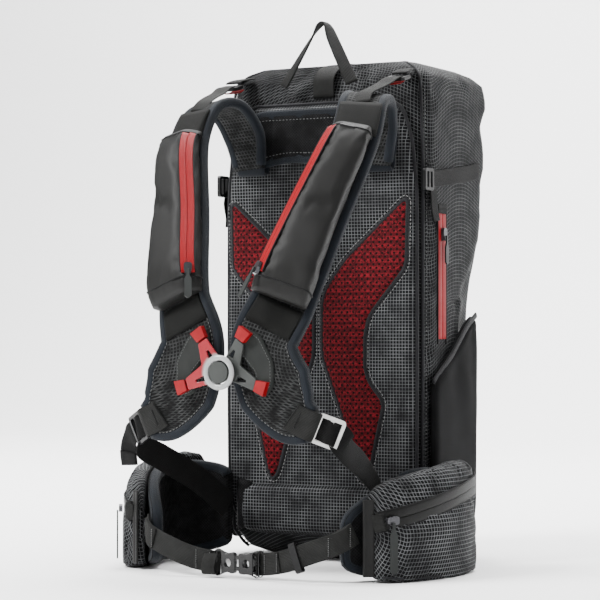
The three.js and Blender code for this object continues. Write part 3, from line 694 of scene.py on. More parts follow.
def spacer_mesh(name, ground, threads, hole, pitch=7.6, row=8.6):
    """Open knitted spacer mesh: crossing threads over a dark ground, in rows of small holes."""
    material = blank(name, 0.6, specular_ior_level=0.1)
    across, along = cloth_axes(material)
    slanted = []
    for sign in ("ADD", "SUBTRACT"):
        slant = maths(material, sign, across, times(material, along, 0.7))
        slanted.append(maths(material, "PINGPONG", slant, 0.75))
    knit = step(material, maths(material, "MAXIMUM", slanted[0], slanted[1]), 0.34, 0.7)
    rows = step(material, maths(material, "PINGPONG", along, row / 2), row * 0.12, row * 0.34)
    holes = []
    for shift in (0, 0.5):
        near = []
        for axis, share in ((across, pitch), (along, row)):
            moved = plus(material, axis, share * shift)
            away = maths(material, "PINGPONG", moved, share / 2)
            near.append(maths(material, "POWER", away, 2.0))
        holes.append(step(material, plus(material, near[0], near[1]), 3.2, 1.1))
    open_cell = maths(material, "MAXIMUM", holes[0], holes[1])
    speckle = step(material, grain(material, 420.0, 2.0), 0.34, 0.66)
    lit = times(material, times(material, knit, speckle),
                plus(material, 0.3, times(material, rows, 0.7)))
    cloth = mix(material, lit, ground, threads)
    cloth = mix(material, open_cell, cloth, hole)
    height = maths(material, "SUBTRACT", knit, times(material, open_cell, 2.0))
    return dress(material, cloth, height, 0.0006)


def crease(flat, depth):
    """Two soft folds where the cushion turns."""
    fold = np.exp(-((flat[:, 1] - 200) / 7) ** 2) + np.exp(-((flat[:, 1] - 318) / 8) ** 2)
    return 1.2 * np.tanh(depth / 10) - 0.9 * fold * (depth / (depth + 6))


red_mesh = spacer_mesh("red_spacer_mesh", ground=(0.045, 0.0012, 0.003),
                       threads=(0.36, 0.012, 0.022), hole=(0.0015, 0.0004, 0.0006))
for side in SIDES:
    cushion = stuffed(f"{side}_mesh_cushion", mesh_outline, 4.2,
                      lambda x, z, h: (x, PANEL_FACE + 0.3 - h, z), red_mesh, side, cell=3.6,
                      rim=8, shape=crease)
    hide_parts(f"{side}_back_mesh")
    on_root(cushion)
    edge = [(x, PANEL_FACE - 0.6, z) for x, z in mesh_outline]
    on_root(band(f"{side}_mesh_piping", edge, TO_WEARER, 4.4, 3.6, piping_tape, side, closed=True,
                 square=2.2, pitch=3.0, count=10))
    run = [(x, PANEL_FACE - 0.9, z) for x, z in beside(mesh_outline, 4.6)]
    on_root(stitches(f"{side}_mesh_topstitch", run, TO_WEARER, white_thread, side, closed=True))

# ---- shoulder yoke ----
# A padded collar of black air mesh that joins the two shoulder straps across the back's top,
# bound round its edge with navy tape and quilted along four upright grooves.
navy_tape = tape("navy_binding", (0.0042, 0.0066, 0.0105))


def air_mesh(name, colour, pitch=2.6, light=3.2, square=False):
    """Black warp-knit mesh with small holes, diamonds or squares; the raised knit drawn lighter and the
    holes darker.
    """
    material = blank(name, 0.7, specular_ior_level=0.08)
    across, along = cloth_axes(material)
    axes = (across, along)
    if not square:
        axes = plus(material, across, along), maths(material, "SUBTRACT", across, along)
    one, two = (maths(material, "PINGPONG", axis, pitch / 2) for axis in axes)
    knit = step(material, maths(material, "MAXIMUM", one, two), pitch * 0.25, pitch * 0.42)
    # The knit, which is also the relief, is drawn lighter than the given colour: painted highlight. The
    # holes are drawn darker, partly the open cells themselves and partly painted shade.
    lit = times(material, knit, step(material, grain(material, 90.0), 0.2, 0.8))
    shade = mix(material, lit, [c * 0.35 for c in colour], [c * light for c in colour])
    return dress(material, shade, knit, 0.0005)


black_mesh = air_mesh("black_air_mesh", (0.0042, 0.0042, 0.0045), pitch=3.6)
yoke_face = PANEL_FACE - 0.5
yoke_half = [(0, -62), (40, -60), (72, -66), (98, -76), (106, -40), (100, -10), (78, 0)]
yoke_half = [(x, BACK_TOP - 38 + z) for x, z in yoke_half]
yoke_outline = rounded(yoke_half + [(-x, z) for x, z in reversed(yoke_half[1:])], 14)


def quilt(flat, depth):
    """The four stitched grooves between the yoke's swelling channels."""
    grooves = sum(np.exp(-((np.abs(flat[:, 0]) - x) / 2.2) ** 2) for x in (22, 60))
    return 1.4 - 2.0 * grooves


yoke = stuffed("yoke_pad", yoke_outline, 6, lambda x, z, h: (x, yoke_face - h, z), black_mesh,
               cell=3.6, rim=7, shape=quilt)
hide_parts("shoulder_yoke")
on_root(yoke)
yoke_round = evenly(yoke_outline, 160, closed=True)
yoke_edge = [(x, yoke_face - 3.2, z) for x, z in beside(yoke_round, -4)]
on_root(band("yoke_binding", yoke_edge, TO_WEARER, 11, 8, navy_tape, closed=True, square=2.8))
run = [(x, yoke_face - 7.6, z) for x, z in beside(yoke_round, -10.6)]
on_root(stitches("yoke_topstitch", run, TO_WEARER, grey_thread, closed=True))

# ---- lumbar pad ----
# A low pad of firm foam at the waist, covered in the back panel's own grid cloth and sewn down
# round its edge between the two hip wings.
lumbar_low, lumbar_high = (v * 1000 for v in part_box("lumbar_pad"))
corners = [(lumbar_low.x, lumbar_low.z), (lumbar_high.x, lumbar_low.z),
           (lumbar_high.x, lumbar_high.z), (lumbar_low.x, lumbar_high.z)]
lumbar = stuffed("lumbar_cushion", rounded(corners, 14), lumbar_high.y - lumbar_low.y,
                 lambda x, z, h: (x, lumbar_high.y - DEPTH_SHIFT - h, z), panel_cloth, cell=4.0, rim=12)
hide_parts("lumbar_pad")
on_root(lumbar)

# ---- shoulder straps ----
# Each strap is shaped foam under air mesh, wide where the chest closure sits, and bound on both
# edges with navy tape. A short bent tab sews its root in behind the yoke, and it swings there.
STRAP_SWING_Z = BACK_TOP - 75
CHEST_Z = (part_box("chest_button")[0].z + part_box("chest_button")[1].z) * 500
FLARE_Y = -223
LEVEL = (1, 0, 0)
TURNED = (0.956, 0.23, -0.18)
STRAP_THICK = 10
STRAP = [    # middle line, direction across, width
    ((84, -27, STRAP_SWING_Z - 32), LEVEL, 40), ((88, -36, STRAP_SWING_Z + 10), LEVEL, 54),
    ((97, -62, STRAP_SWING_Z + 39), (0.99, 0.1, -0.1), 54),
    ((105, -97, STRAP_SWING_Z + 35), (0.97, 0.18, -0.15), 54),
    ((108, -125, STRAP_SWING_Z - 7), TURNED, 56),
    ((85.5, -168, (STRAP_SWING_Z + CHEST_Z + 69) / 2), TURNED, 63),
    ((63, FLARE_Y + 12, CHEST_Z + 76), TURNED, 73), ((46, FLARE_Y, CHEST_Z + 29), LEVEL, 80),
    ((60, FLARE_Y, CHEST_Z - 17), (0.98, 0, 0.2), 92),
    ((84, FLARE_Y + 1, CHEST_Z - 47), (0.8, 0, 0.6), 66),
    ((106, FLARE_Y + 2, CHEST_Z - 57), (0.5, 0, 0.87), 36),
]


def curve_at(points, u):
    """A place on the smooth curve through the points, with centripetal spacing."""
    points = np.array(points, float)
    along = u * (len(points) - 1)
    k = min(int(along), len(points) - 2)
    w = along - k
    x1, x2 = points[k], points[k + 1]
    x0 = points[k - 1] if k else 2 * points[0] - points[1]
    x3 = points[k + 2] if k + 2 < len(points) else 2 * points[-1] - points[-2]
    steps = ((x0, x1), (x1, x2), (x2, x3))
    d0, d1, d2 = (max(np.linalg.norm(q - p), 1e-6) ** 0.5 for p, q in steps)
    t1 = ((x1 - x0) / d0 - (x2 - x0) / (d0 + d1) + (x2 - x1) / d1) * d1
    t2 = ((x2 - x1) / d1 - (x3 - x1) / (d1 + d2) + (x3 - x2) / d2) * d1
    return x1 + t1 * w + (3 * (x2 - x1) - 2 * t1 - t2) * w ** 2 + (2 * (x1 - x2) + t1 + t2) * w ** 3


def smooth(points, count):
    """The given number of places along the smooth curve through the points."""
    return [curve_at(points, u) for u in np.linspace(0, 1, count)]


def frame_at(stations, u):
    """The place, the directions along, across and out, and the width at u of a strap."""
    points = [s[0] for s in stations]
    spot = u * (len(stations) - 1)
    k = min(int(spot), len(stations) - 2)
    ahead = curve_at(points, min(u + 1e-4, 1)) - curve_at(points, max(u - 1e-4, 0))
    ahead /= np.linalg.norm(ahead)
    before, after = 1 - spot + k, spot - k
    across = np.array(stations[k][1], float) * before + np.array(stations[k + 1][1], float) * after
    across -= ahead * across.dot(ahead)
    across /= np.linalg.norm(across)
    width = stations[k][2] * before + stations[k + 1][2] * after
    return curve_at(points, u), ahead, across, np.cross(ahead, across), width


def strap_at(spot):
    """The strap's frame at a place counted in stations from its root."""
    return frame_at(STRAP, min(max(spot / (len(STRAP) - 1), 0), 1))


def strap_line(start, end, shift=0.0, rise=0.0, from_edge=0.0, steps=60):
    """Points and outward directions along the strap; from_edge of 1 or -1 starts at that edge."""
    rows = []
    for spot in np.linspace(start, end, steps):
        at, _, across, out, width = strap_at(spot)
        rows.append((at + across * (from_edge * width / 2 + shift) + out * rise, out, width))
    return [r[0] for r in rows], [r[1] for r in rows], [r[2] for r in rows]


def on_body(piece, body):
    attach(piece, body)
    return piece


strap_mesh = air_mesh("strap_air_mesh", (0.0085, 0.0088, 0.0088), pitch=4.2, light=4.5, square=True)
for side in SIDES:
    body = f"{side}_strap"
    path, outs, widths = strap_line(0, 10, steps=90)
    pad = band(f"{side}_strap_foam", path, outs, np.array(widths) - 2, STRAP_THICK, strap_mesh,
               side, pitch=6, count=36)
    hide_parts(f"{side}_strap_pad")
    on_body(pad, body)
    for edge, label in ((-1, "inner"), (1, "outer")):
        path, outs, widths = strap_line(0.1, 9.85, shift=-edge * 4.6, from_edge=edge, steps=80)
        on_body(band(f"{side}_strap_{label}_binding", path, outs, 11, STRAP_THICK + 1.8, navy_tape, side,
                     square=2.8, pitch=5), body)
        path, outs, widths = strap_line(6.6, 9.4, shift=-edge * 9.6, rise=STRAP_THICK / 2 + 0.6,
                                        from_edge=edge)
        on_body(stitches(f"{side}_strap_{label}_stitching", path, outs[30], grey_thread, side), body)
    root_path = [(84, PANEL_FACE - 2, STRAP_SWING_Z - 24), (84, PANEL_FACE - 5, STRAP_SWING_Z - 35),
                 (84, -22, STRAP_SWING_Z - 38), (84, -27, STRAP_SWING_Z - 31),
                 (84.4, -28.5, STRAP_SWING_Z - 22)]
    root_path = smooth(root_path, 24)
    root_outs = np.cross(np.gradient(np.array(root_path), axis=0), (1, 0, 0))
    joined = band(f"{side}_strap_root", root_path, root_outs, 38, 4, navy_tape, side, square=5, pitch=2)
    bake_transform(joined)

# ---- strap pockets ----
# A stuffed pocket of charcoal satin nylon on each strap, closed by a red zip that is sewn into a
# slanted facet on the side towards the other strap. A dark band holds it above and below.
POCKET_FROM, POCKET_TO = 3.95, 6.0
POCKET_THICK = 27
POCKET_BEVEL = 13
POCKET_AROUND = 56    # points round the pocket


def satin(name, colour):
    """Smooth coated nylon: a very fine twill, with soft long creases painted in as darker and lighter
    colour (painted shade and painted highlight) and as rougher and glossier patches.
    """
    material = blank(name, 0.5, specular_ior_level=0.16)
    across, along = cloth_axes(material)
    twill = maths(material, "PINGPONG", plus(material, across, along), 0.45)
    soft = grain(material, 26.0, 2.0)
    # The darker and lighter patches stand for the soft creases: painted shade and painted highlight.
    shade = mix(material, step(material, soft, 0.3, 0.75), [c * 0.8 for c in colour],
                [c * 1.15 for c in colour])
    gloss = plus(material, 0.4, times(material, soft, 0.2))
    return dress(material, shade, twill, 0.00012, gloss)


def zip_tape(name, colour):
    """Coated zip tape: a closed slit down the middle, coil ridges felt through the coating."""
    material = blank(name, 0.45, specular_ior_level=0.12)
    along = cloth_axes(material)[1]
    coils = maths(material, "PINGPONG", along, 0.7)
    worn = grain(material, 120.0)
    shade = mix(material, step(material, worn, 0.2, 0.9), [c * 0.85 for c in colour], colour)
    height = plus(material, coils, times(material, worn, 0.3))
    return dress(material, shade, height, 0.00025)


def webbing(name, colour, rib=1.6, light=1.35):
    """Tightly woven flat webbing: ribs along it, each crossed by short picks, drawn lighter where they
    stand high and darker between them.
    """
    material = blank(name, 0.68, specular_ior_level=0.1)
    across, along = cloth_axes(material)
    ribs = maths(material, "PINGPONG", across, rib / 2)
    picks = plus(material, along, times(material, ribs, 0.6))
    picks = maths(material, "PINGPONG", picks, 0.55)
    height = plus(material, times(material, ribs, 1.1), picks)
    # The colour follows the relief's height: painted highlight on the raised ribs and picks, painted
    # shade between them.
    lit = step(material, height, 0.2, 1.2)
    worn = step(material, grain(material, 55.0), 0.15, 0.85)
    shade = mix(material, times(material, lit, worn), [c * 0.45 for c in colour],
                [c * light for c in colour])
    return dress(material, shade, height, 0.0004)


def pocket_frame(spot):
    """The middle of the pocket at a place on the strap, its directions, width and thickness."""
    at, ahead, across, out, _ = strap_at(spot)
    share = (spot - POCKET_FROM) / (POCKET_TO - POCKET_FROM)
    swell = 1 - 0.4 * abs(2 * share - 1) ** 6
    width = (50 + 22 * share) * (0.85 + 0.15 * swell)
    thick = POCKET_THICK * swell
    middle = at + out * (STRAP_THICK / 2 + 1.5 + thick / 2) - across * 3
    return middle, ahead, across, out, width, thick


def pocket_ring(spot, size=1.0):
    """Points round the pocket at one place: square at the back, one front corner cut off."""
    at, _, across, out, width, thick = pocket_frame(spot)
    w, t, bevel = width / 2, thick / 2, min(POCKET_BEVEL, thick - 5)
    shape = [(w, -t), (w, t), (bevel - w, t), (-w, t - bevel), (-w, -t)]
    shape = rounded(shape, 6)
    crown = 1.6 * np.cos(np.clip(shape[:, 0] / w, -1, 1) * math.pi / 2) * (shape[:, 1] > 0)
    shape[:, 1] += crown * (thick / POCKET_THICK - 0.5)
    shape = evenly(np.column_stack([shape, np.zeros(len(shape))]), POCKET_AROUND, closed=True)
    return [at + across * a * size + out * b * size for a, b, _ in shape]


def on_bevel(spot, lift):
    """A place on the middle of the pocket's slanted facet, and the direction it faces."""
    at, _, across, out, width, thick = pocket_frame(spot)
    outward = (out - across) / math.sqrt(2)
    middle = at + across * (POCKET_BEVEL - width) / 2 + out * (thick - POCKET_BEVEL) / 2
    return middle + outward * lift, outward


def pocket_edge(spot):
    """A line over the pocket's front and sides at one place, just off the cloth, for a seam."""
    _, _, across, out, _, thick = pocket_frame(spot)
    ring = np.array(pocket_ring(spot))
    centre = ring.mean(0)
    back = -thick * 0.42
    front = [p for p in ring if (p - centre).dot(out) > back]
    front = [p + (p - centre) / np.linalg.norm(p - centre) * 0.6 for p in front]
    front.sort(key=lambda p: math.atan2((p - centre).dot(out) - back, (p - centre).dot(across)))
    return front


pocket_satin = satin("charcoal_satin", (0.0075, 0.0075, 0.0072))
red_zip = zip_tape("red_zip_tape", (0.215, 0.0008, 0.004))
band_cloth = webbing("dark_band_cloth", (0.0085, 0.0088, 0.008), rib=0.9)
black_cord = tape("black_cord", (0.003, 0.003, 0.0033))
zip_metal = moulded("black_nickel", (0.06, 0.06, 0.065), 0.3, metallic=0.85)
rubber_pull = moulded("grey_rubber", (0.014, 0.016, 0.0155), 0.6, specular_ior_level=0.2)
red_plastic = moulded("red_plastic", (0.215, 0.0012, 0.004), 0.42, specular_ior_level=0.3)
for side in SIDES:
    body = f"{side}_strap"
    spots_along = np.linspace(POCKET_FROM, POCKET_TO, 40)
    rings = [pocket_ring(POCKET_FROM, 0.45), pocket_ring(POCKET_FROM, 0.8)]
    rings += [pocket_ring(spot) for spot in spots_along]
    rings += [pocket_ring(POCKET_TO, 0.8), pocket_ring(POCKET_TO, 0.45)]
    pocket = skin(f"{side}_pocket_satin", rings, pocket_satin, side)
    pinned = np.zeros(len(pocket.data.vertices), bool)
    grid = np.arange(len(rings) * POCKET_AROUND).reshape(-1, POCKET_AROUND)
    pinned[grid[[0, 1, 2, 3, -4, -3, -2, -1]].ravel()] = True
    midway, out = on_bevel(spots_along[18], 0)[0], strap_at(spots_along[18])[3]
    facet_ends = []    # the ring's points nearest the facet's two edges
    for corner in (midway + out * 6, midway - out * 6):
        away = [np.linalg.norm(np.array(p) - corner) for p in rings[20]]
        facet_ends.append(away.index(min(away)))
    facet = range(min(facet_ends), max(facet_ends) + 1)
    if len(facet) > POCKET_AROUND / 2:
        round_again = range(max(facet_ends), min(facet_ends) + POCKET_AROUND + 1)
        facet = [j % POCKET_AROUND for j in round_again]
    pinned[grid[:, list(facet)].ravel()] = True
    let_out(pocket, pinned, pressure=3.0, spare=0.015, outward=2.0, inward=3.0)
    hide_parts(f"{side}_strap_pocket")
    on_body(pocket, body)
    lines = [on_bevel(spot, 0.9) for spot in np.linspace(POCKET_FROM + 0.12, POCKET_TO - 0.2, 30)]
    for half, label in ((-1, "upper"), (1, "lower")):
        aside = [np.cross(strap_at(5)[1], out) for _, out in lines]
        path = [at + half * side_way * 4.05 for (at, _), side_way in zip(lines, aside)]
        on_body(band(f"{side}_strap_zip_{label}_tape", path, [out for _, out in lines], 7.9, 1.7,
                     red_zip, side, square=3.4, pitch=4), body)
    for half, label in ((-1, "front"), (1, "back")):
        path = [at + half * side_way * 8.4 + out * 0.2 for (at, out), side_way in zip(lines, aside)]
        on_body(cord_tube(f"{side}_strap_zip_{label}_seam", path, 0.8, black_cord, side), body)
    for spot, label in ((POCKET_FROM + 0.1, "top"), (POCKET_TO - 0.16, "bottom")):
        on_body(cord_tube(f"{side}_pocket_{label}_seam", pocket_edge(spot), 0.9, black_cord, side),
                body)
    path, outs, widths = strap_line(3.3, POCKET_FROM + 0.06, rise=STRAP_THICK / 2 + 2.6, steps=12)
    cap = band(f"{side}_upper_band", path, outs, np.array(widths) - 6, np.linspace(4, 13, 12),
               band_cloth, side, square=6)
    on_body(cap, body)
    path, outs, widths = strap_line(POCKET_TO + 0.03, POCKET_TO + 0.62, rise=STRAP_THICK / 2 + 0.7,
                                    steps=12)
    on_body(band(f"{side}_lower_band", path, outs, np.array(widths) - 18, 2.2, band_cloth, side),
            body)
    at, ahead, across, out, _, thick = pocket_frame(POCKET_FROM + 0.1)
    bar = [at + across * x + out * (thick / 2 + 1.2) + ahead for x in (-9, -8, 8, 9)]
    on_body(cord_tube(f"{side}_pocket_top_bar", bar, 1.5, black_plastic, side, pitch=2), body)
    repaint(f"{side}_strap_zip_slider", zip_metal, 1.1)
    repaint(f"{side}_strap_zip_pull", rubber_pull, 0.6)

# ---- chest closure ----
# A stitched grey patch on each strap carries two red clips. From them a pair of moulded arms runs
# to the ring on the middle line, clear on the wearer's right, grey on the left, with its button.
PLATE_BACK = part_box("left_chest_plate")[1].y * 1000 - DEPTH_SHIFT
PLATE_THICK = 3
RING_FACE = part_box("right_chest_arm")[0].y * 1000 - DEPTH_SHIFT
patch_shape = [(18, 40), (26, 50), (46, 40), (62, 12), (62, -16), (50, -28), (36, -22), (40, -2),
               (22, 18)]
patch_outline = rounded([(x, z + CHEST_Z) for x, z in patch_shape], 5)
patch_cloth = webbing("grey_patch_cloth", (0.036, 0.039, 0.037), rib=0.8, light=1.2)
grey_plastic = moulded("grey_plastic", (0.036, 0.039, 0.037), 0.4, specular_ior_level=0.3)


def clear_plastic(name):
    """Clear moulding, milky at the ring and tinted by the red core of the arms."""
    material = blank(name, 0.22, transmission_weight=0.35, ior=1.49, specular_ior_level=0.5)
    spot = node(material, "SeparateXYZ", {0: node(material, "TexCoord").outputs["Object"]})
    x, z = spot.outputs[0], maths(material, "SUBTRACT", spot.outputs[2], CHEST_Z / 1000)
    far = maths(material, "SQRT", plus(material, times(material, x, x), times(material, z, z)))
    tint = step(material, far, 0.0185, 0.024)
    shade = mix(material, tint, (0.42, 0.43, 0.43), (0.36, 0.02, 0.03))
    return dress(material, shade, grain(material, 300.0, 1.0), 0.00004)


def pressed(name, outlines, low_y, high_y, material, side="left", edge=0.7):
    """A flat moulding with rounded edges, from an outline in XZ and the outlines of its windows."""
    sheet = bpy.data.curves.new(name, "CURVE")
    sheet.dimensions = "2D"
    sheet.fill_mode = "BOTH"
    sheet.extrude = (high_y - low_y) / 2000 - edge / 1000
    sheet.bevel_depth = edge / 1000
    sheet.bevel_resolution = 1
    sheet.offset = -edge / 1000
    for outline in outlines:
        spline = sheet.splines.new("POLY")
        spline.points.add(len(outline) - 1)
        spline.points.foreach_set("co", [c for x, z in outline for c in (x / 1000, z / 1000, 0, 1)])
        spline.use_cyclic_u = True
    shape = link(bpy.data.objects.new(name + "_pattern", sheet))
    solid = shape.evaluated_get(bpy.context.evaluated_depsgraph_get()).to_mesh()
    middle = (low_y + high_y) / 2
    spots = [(v.co.x * 1000, middle - v.co.z * 1000, v.co.y * 1000) for v in solid.vertices]
    faces = [tuple(f.vertices) for f in solid.polygons]
    bpy.data.objects.remove(shape)
    bpy.data.curves.remove(sheet)
    uvs = [[(spots[v][0], spots[v][2]) for v in f] for f in faces]
    piece = build(name, spots, faces, uvs, material, side)
    worked = bmesh.new()
    worked.from_mesh(piece.data)
    bmesh.ops.remove_doubles(worked, verts=worked.verts, dist=1e-6)
    bmesh.ops.recalc_face_normals(worked, faces=worked.faces)
    for face in worked.faces:
        face.smooth = abs(face.normal.y) < 0.99
    worked.to_mesh(piece.data)
    worked.free()
    return piece


clear_arm = clear_plastic("clear_plastic")
for side in SIDES:
    body = f"{side}_strap"
    patch = stuffed(f"{side}_chest_patch", patch_outline, PLATE_THICK,
                    lambda x, z, h: (x, PLATE_BACK - h, z), patch_cloth, side, cell=2.4, rim=2.2)
    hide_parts(f"{side}_chest_plate")
    on_body(patch, body)
    inside = evenly(patch_outline, 90, closed=True)
    run = [(x, PLATE_BACK - PLATE_THICK - 0.1, z) for x, z in beside(inside, -3)]
    on_body(stitches(f"{side}_chest_patch_stitching", run, TO_WEARER, grey_thread, side,
                     length=2.2, gap=1.2, radius=0.38, closed=True), body)
    for clip in ("upper", "lower"):
        repaint(f"{side}_{clip}_clip", red_plastic, 1.3)


def off_ring(angle, r, b=0.0):
    """A place r from the ring's middle along an arm's angle and b beside it."""
    x = r * math.cos(angle) - b * math.sin(angle)
    return x, CHEST_Z + r * math.sin(angle) + b * math.cos(angle)


BUTTON_HOLE = 12.8    # radius
upper, high_reach, high_half = math.atan2(36, 24), 41, 6.0    # an arm's angle, reach and half width
lower, low_reach, low_half = math.atan2(-14, 44), 44, 6.5
for side, material, slot in (("left", grey_plastic, "grey_arm"), ("right", clear_arm, "clear_arm")):
    hub = 10 if side == "left" else 17
    around = [off_ring(a, hub) for a in np.linspace(upper + 0.5, lower + 2 * math.pi - 0.5, 18)]
    shape = [off_ring(lower, low_reach, -low_half), off_ring(lower, low_reach, low_half),
             off_ring((upper + lower) / 2, 24.5), off_ring(upper, high_reach, -high_half),
             off_ring(upper, high_reach, high_half), *around]
    windows = [[off_ring(a, 20.5, -3.4), off_ring(a, 20.5, 2.8), off_ring(a, reach - 12, 1.4),
                off_ring(a, reach - 12, -1.4)] for a, reach in ((upper, high_reach), (lower, low_reach))]
    if side == "right":
        windows.append([off_ring(a, BUTTON_HOLE) for a in np.arange(32) / 32 * 2 * math.pi])
    low, high = (v.y * 1000 - DEPTH_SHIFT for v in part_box(f"{side}_chest_arm"))
    outlines = [rounded(shape, 1.5), *[rounded(window, 0.8) for window in windows]]
    arm = pressed(f"{side}_moulded_arm", outlines, low, high, material, side)
    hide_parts(f"{side}_chest_arm")
    on_body(arm, f"{side}_strap")
repaint("chest_button", grey_plastic, 1.0)


def turned(name, profile, material, centre, count=56):
    """A ring turned from a profile of radius and height, facing the wearer's front."""
    rings = []
    for k in range(count + 1):
        angle = k / count * 2 * math.pi
        x, z = math.cos(angle), math.sin(angle)
        rings.append([(centre[0] + r * x, centre[1] - h, centre[2] + r * z) for r, h in profile])
    return skin(name, rings, material, caps=False)


ring_profile = [(13.4, 0.3), (18.6, 0.3), (19.3, 1.0), (19.3, 2.2), (18.4, 3.2), (16.4, 3.6),
                (14.2, 3.2), (13.3, 2.2), (13.3, 1.0)]
on_body(turned("chest_ring", ring_profile, clear_arm, (0, RING_FACE, CHEST_Z)), "right_strap")

# ---- ladder locks and lower webbing ----
# A folded webbing tab bar-tacked to each strap's end holds a ladder lock. The wide lower webbing
# is threaded through it and runs back to the pack's bottom corner. On the wearer's right a spare
# end hangs from the lock.
black_webbing = webbing("black_webbing", (0.0042, 0.0042, 0.0042))
grey_webbing = webbing("grey_webbing", (0.0155, 0.0157, 0.015))
# Pale grey plastic for the left ladder lock: a painted reflection of the softbox on glossy black
# plastic; the right lock is the plain black plastic.
pale_plastic = moulded("pale_plastic", (0.5, 0.5, 0.48), 0.3)
WEB_THICK = 2


def facing(path, across):
    """The directions that a webbing faces along a path, when its width lies across."""
    ahead = np.gradient(np.array(path, float), axis=0)
    return np.cross(np.array(across, float) * np.ones((len(path), 1)), ahead)


for side in SIDES:
    body = f"{side}_strap"
    lock_low, lock_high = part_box(f"{side}_ladder_lock")
    lock_middle = (lock_low + lock_high) * 500
    lock_middle = np.array([abs(lock_middle.x), lock_middle.y - DEPTH_SHIFT, lock_middle.z])
    end, ahead, across, out, _ = strap_at(10)
    path, outs, widths = strap_line(8.95, 10, rise=STRAP_THICK / 2 + 1.3, steps=14)
    path += [end + ahead * 5 + out * 2.4, end + ahead * 5.5 - out * 1.5]
    outs += [out * 0.6 + ahead * 0.8, ahead]
    on_body(band(f"{side}_lock_tab", path, outs, 33, 2.2, grey_webbing, side, pitch=2.5),
            body)
    for spot, reach, label in ((9.3, 9, "middle"), (8.98, 14, "end")):
        at, _, tack_way, rise, _ = strap_at(spot)
        at = at + rise * (STRAP_THICK / 2 + 2.4)
        run = [at + tack_way * x for x in np.linspace(-reach, reach, 12)]
        on_body(stitches(f"{side}_{label}_bar_tack", run, rise, black_cord, side, length=1.6,
                         gap=0.2, radius=0.8), body)
    # The left lock is drawn pale grey as a painted reflection; the right lock keeps the black plastic.
    lock_material = pale_plastic if side == "left" else black_plastic
    repaint(f"{side}_ladder_lock", lock_material, 1.3)
    lean = math.radians(28)
    length = ahead * math.cos(lean) - out * math.sin(lean)
    face = out * math.cos(lean) + ahead * math.sin(lean)
    threaded = [(5, -3.2), (9, 0.5), (15, 3.6), (21, 0.5), (26, -3.4)]    # along the lock and off it
    route = [end + ahead * 3 + length * a + face * b for a, b in threaded]
    route += [(132, -196, 147), (128, -150, 127), (117, -92, 100), (106, -40, 66)]
    route = smooth(route, 70)
    shares = np.linspace(0, 1, 70)
    widths = np.interp(shares, [0, 0.45, 0.55, 1], [25, 25, 31, 31])
    turns = np.array([across * (1 - u) + np.array((-0.15, 0.1, 0.98)) * u for u in shares])
    webbing_down = band(f"{side}_lower_webbing_strap", route, facing(route, turns), widths,
                        WEB_THICK, black_webbing, side, pitch=2.5)
    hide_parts(f"{side}_lower_webbing")
    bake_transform(webbing_down)
    if side == "right":
        low_end = end + ahead * 3 + length * 25
        tail = [low_end - face * 1.5, low_end + length * 7 + face * 2,
                low_end + length * 16 + (1, -1, -7), low_end + length * 19 + (2, 0, -20),
                low_end + length * 18 + (2, 2, -34)]
        tail = smooth(tail, 40)
        on_body(band("right_lock_tail", tail, facing(tail, across), 25, 1.8, black_webbing, side,
                     pitch=2), body)
        fold = [p - facing(tail, across)[30] * 0.05 for p in tail[28:]]
        on_body(band("right_lock_tail_fold", fold, facing(fold, across), 25.6, 4.4, black_webbing,
                     side, pitch=2), body)

# ---- load lifters ----
# Narrow webbing from the top of each strap up to a ladder lock on the pack's top edge, a short
# webbing that holds the lock to the pack, and a red tab under the lock.
red_webbing = webbing("red_webbing", (0.24, 0.003, 0.005))
for side in SIDES:
    low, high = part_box(f"{side}_lifter_buckle")
    lock = (low + high) * 500
    lock = np.array([abs(lock.x), lock.y - DEPTH_SHIFT, lock.z])
    on_strap = []
    for spot, rise in ((3.25, 6), (2.95, 7.5)):
        at, _, _, out, _ = strap_at(spot)
        on_strap.append(at + out * rise)
    route = [*on_strap, (109, -78, 551), (110, -58, 558), lock + (0, -14, -1), lock + (0, -4, 1.2)]
    route = smooth(route, 30)
    lifter = band(f"{side}_lifter_strap", route, facing(route, LEVEL), 20, 1.8, grey_webbing, side,
                  pitch=4)
    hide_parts(f"{side}_lifter_webbing")
    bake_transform(lifter)
    repaint(f"{side}_lifter_buckle", black_plastic, 1.0)
    anchor = [lock + (0, 6, 6.4), lock + (0, 12, 9.2), lock + (-2, 22, 12), lock + (-5, 38, 15)]
    on_root(band(f"{side}_lifter_anchor", anchor, facing(anchor, LEVEL), 19, 1.8, black_webbing,
                 side, pitch=4))
    tab = [lock + (-4, -6, -7), lock + (-4, 5, -5), lock + (-4, 14, -1)]
    on_root(band(f"{side}_lifter_red_tab", tab, facing(tab, LEVEL), 15, 1.6, red_webbing, side,
                 pitch=3))

# ---- top strap and haul loop ----
# A wide webbing runs over the middle of the crown and down the rear. The haul loop is narrow
# webbing sewn down at its two feet, turned edge-on where it bends at the top.
back = BAG_REAR + 2.5
top = BAG_TOP - 1
over = [(0, BAG_FRONT - 0.6, BACK_TOP - 22), (0, BAG_FRONT + 1, BACK_TOP + 3), (0, BAG_FRONT + 34, top),
        (0, back - 40, top), (0, back - 13, BACK_TOP + 11), (0, back - 1.5, BACK_TOP - 5),
        (0, back, BACK_TOP - 34), (0, back - 3, BACK_TOP - 105), (0, back - 9, BACK_TOP - 150)]
over = smooth(over, 80)
strap_over = band("crown_strap", over, facing(over, LEVEL), 28, 2, grey_webbing, pitch=5)
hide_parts("top_strap")
on_root(strap_over)
foot = BACK_TOP - 8
HAUL_WIDTH = 15
leg = [((46, -13, foot), (0.8, 0.5, 0.5)), ((38, -10, foot + 14), (0.75, 0.55, 0.4)),
       ((14, -2, foot + 57), (0.5, 0.8, 0.2)), ((6, 2, foot + 72), (0.1, 1, 0)),
       ((0, 3, foot + 76), (0, 1, 0))]
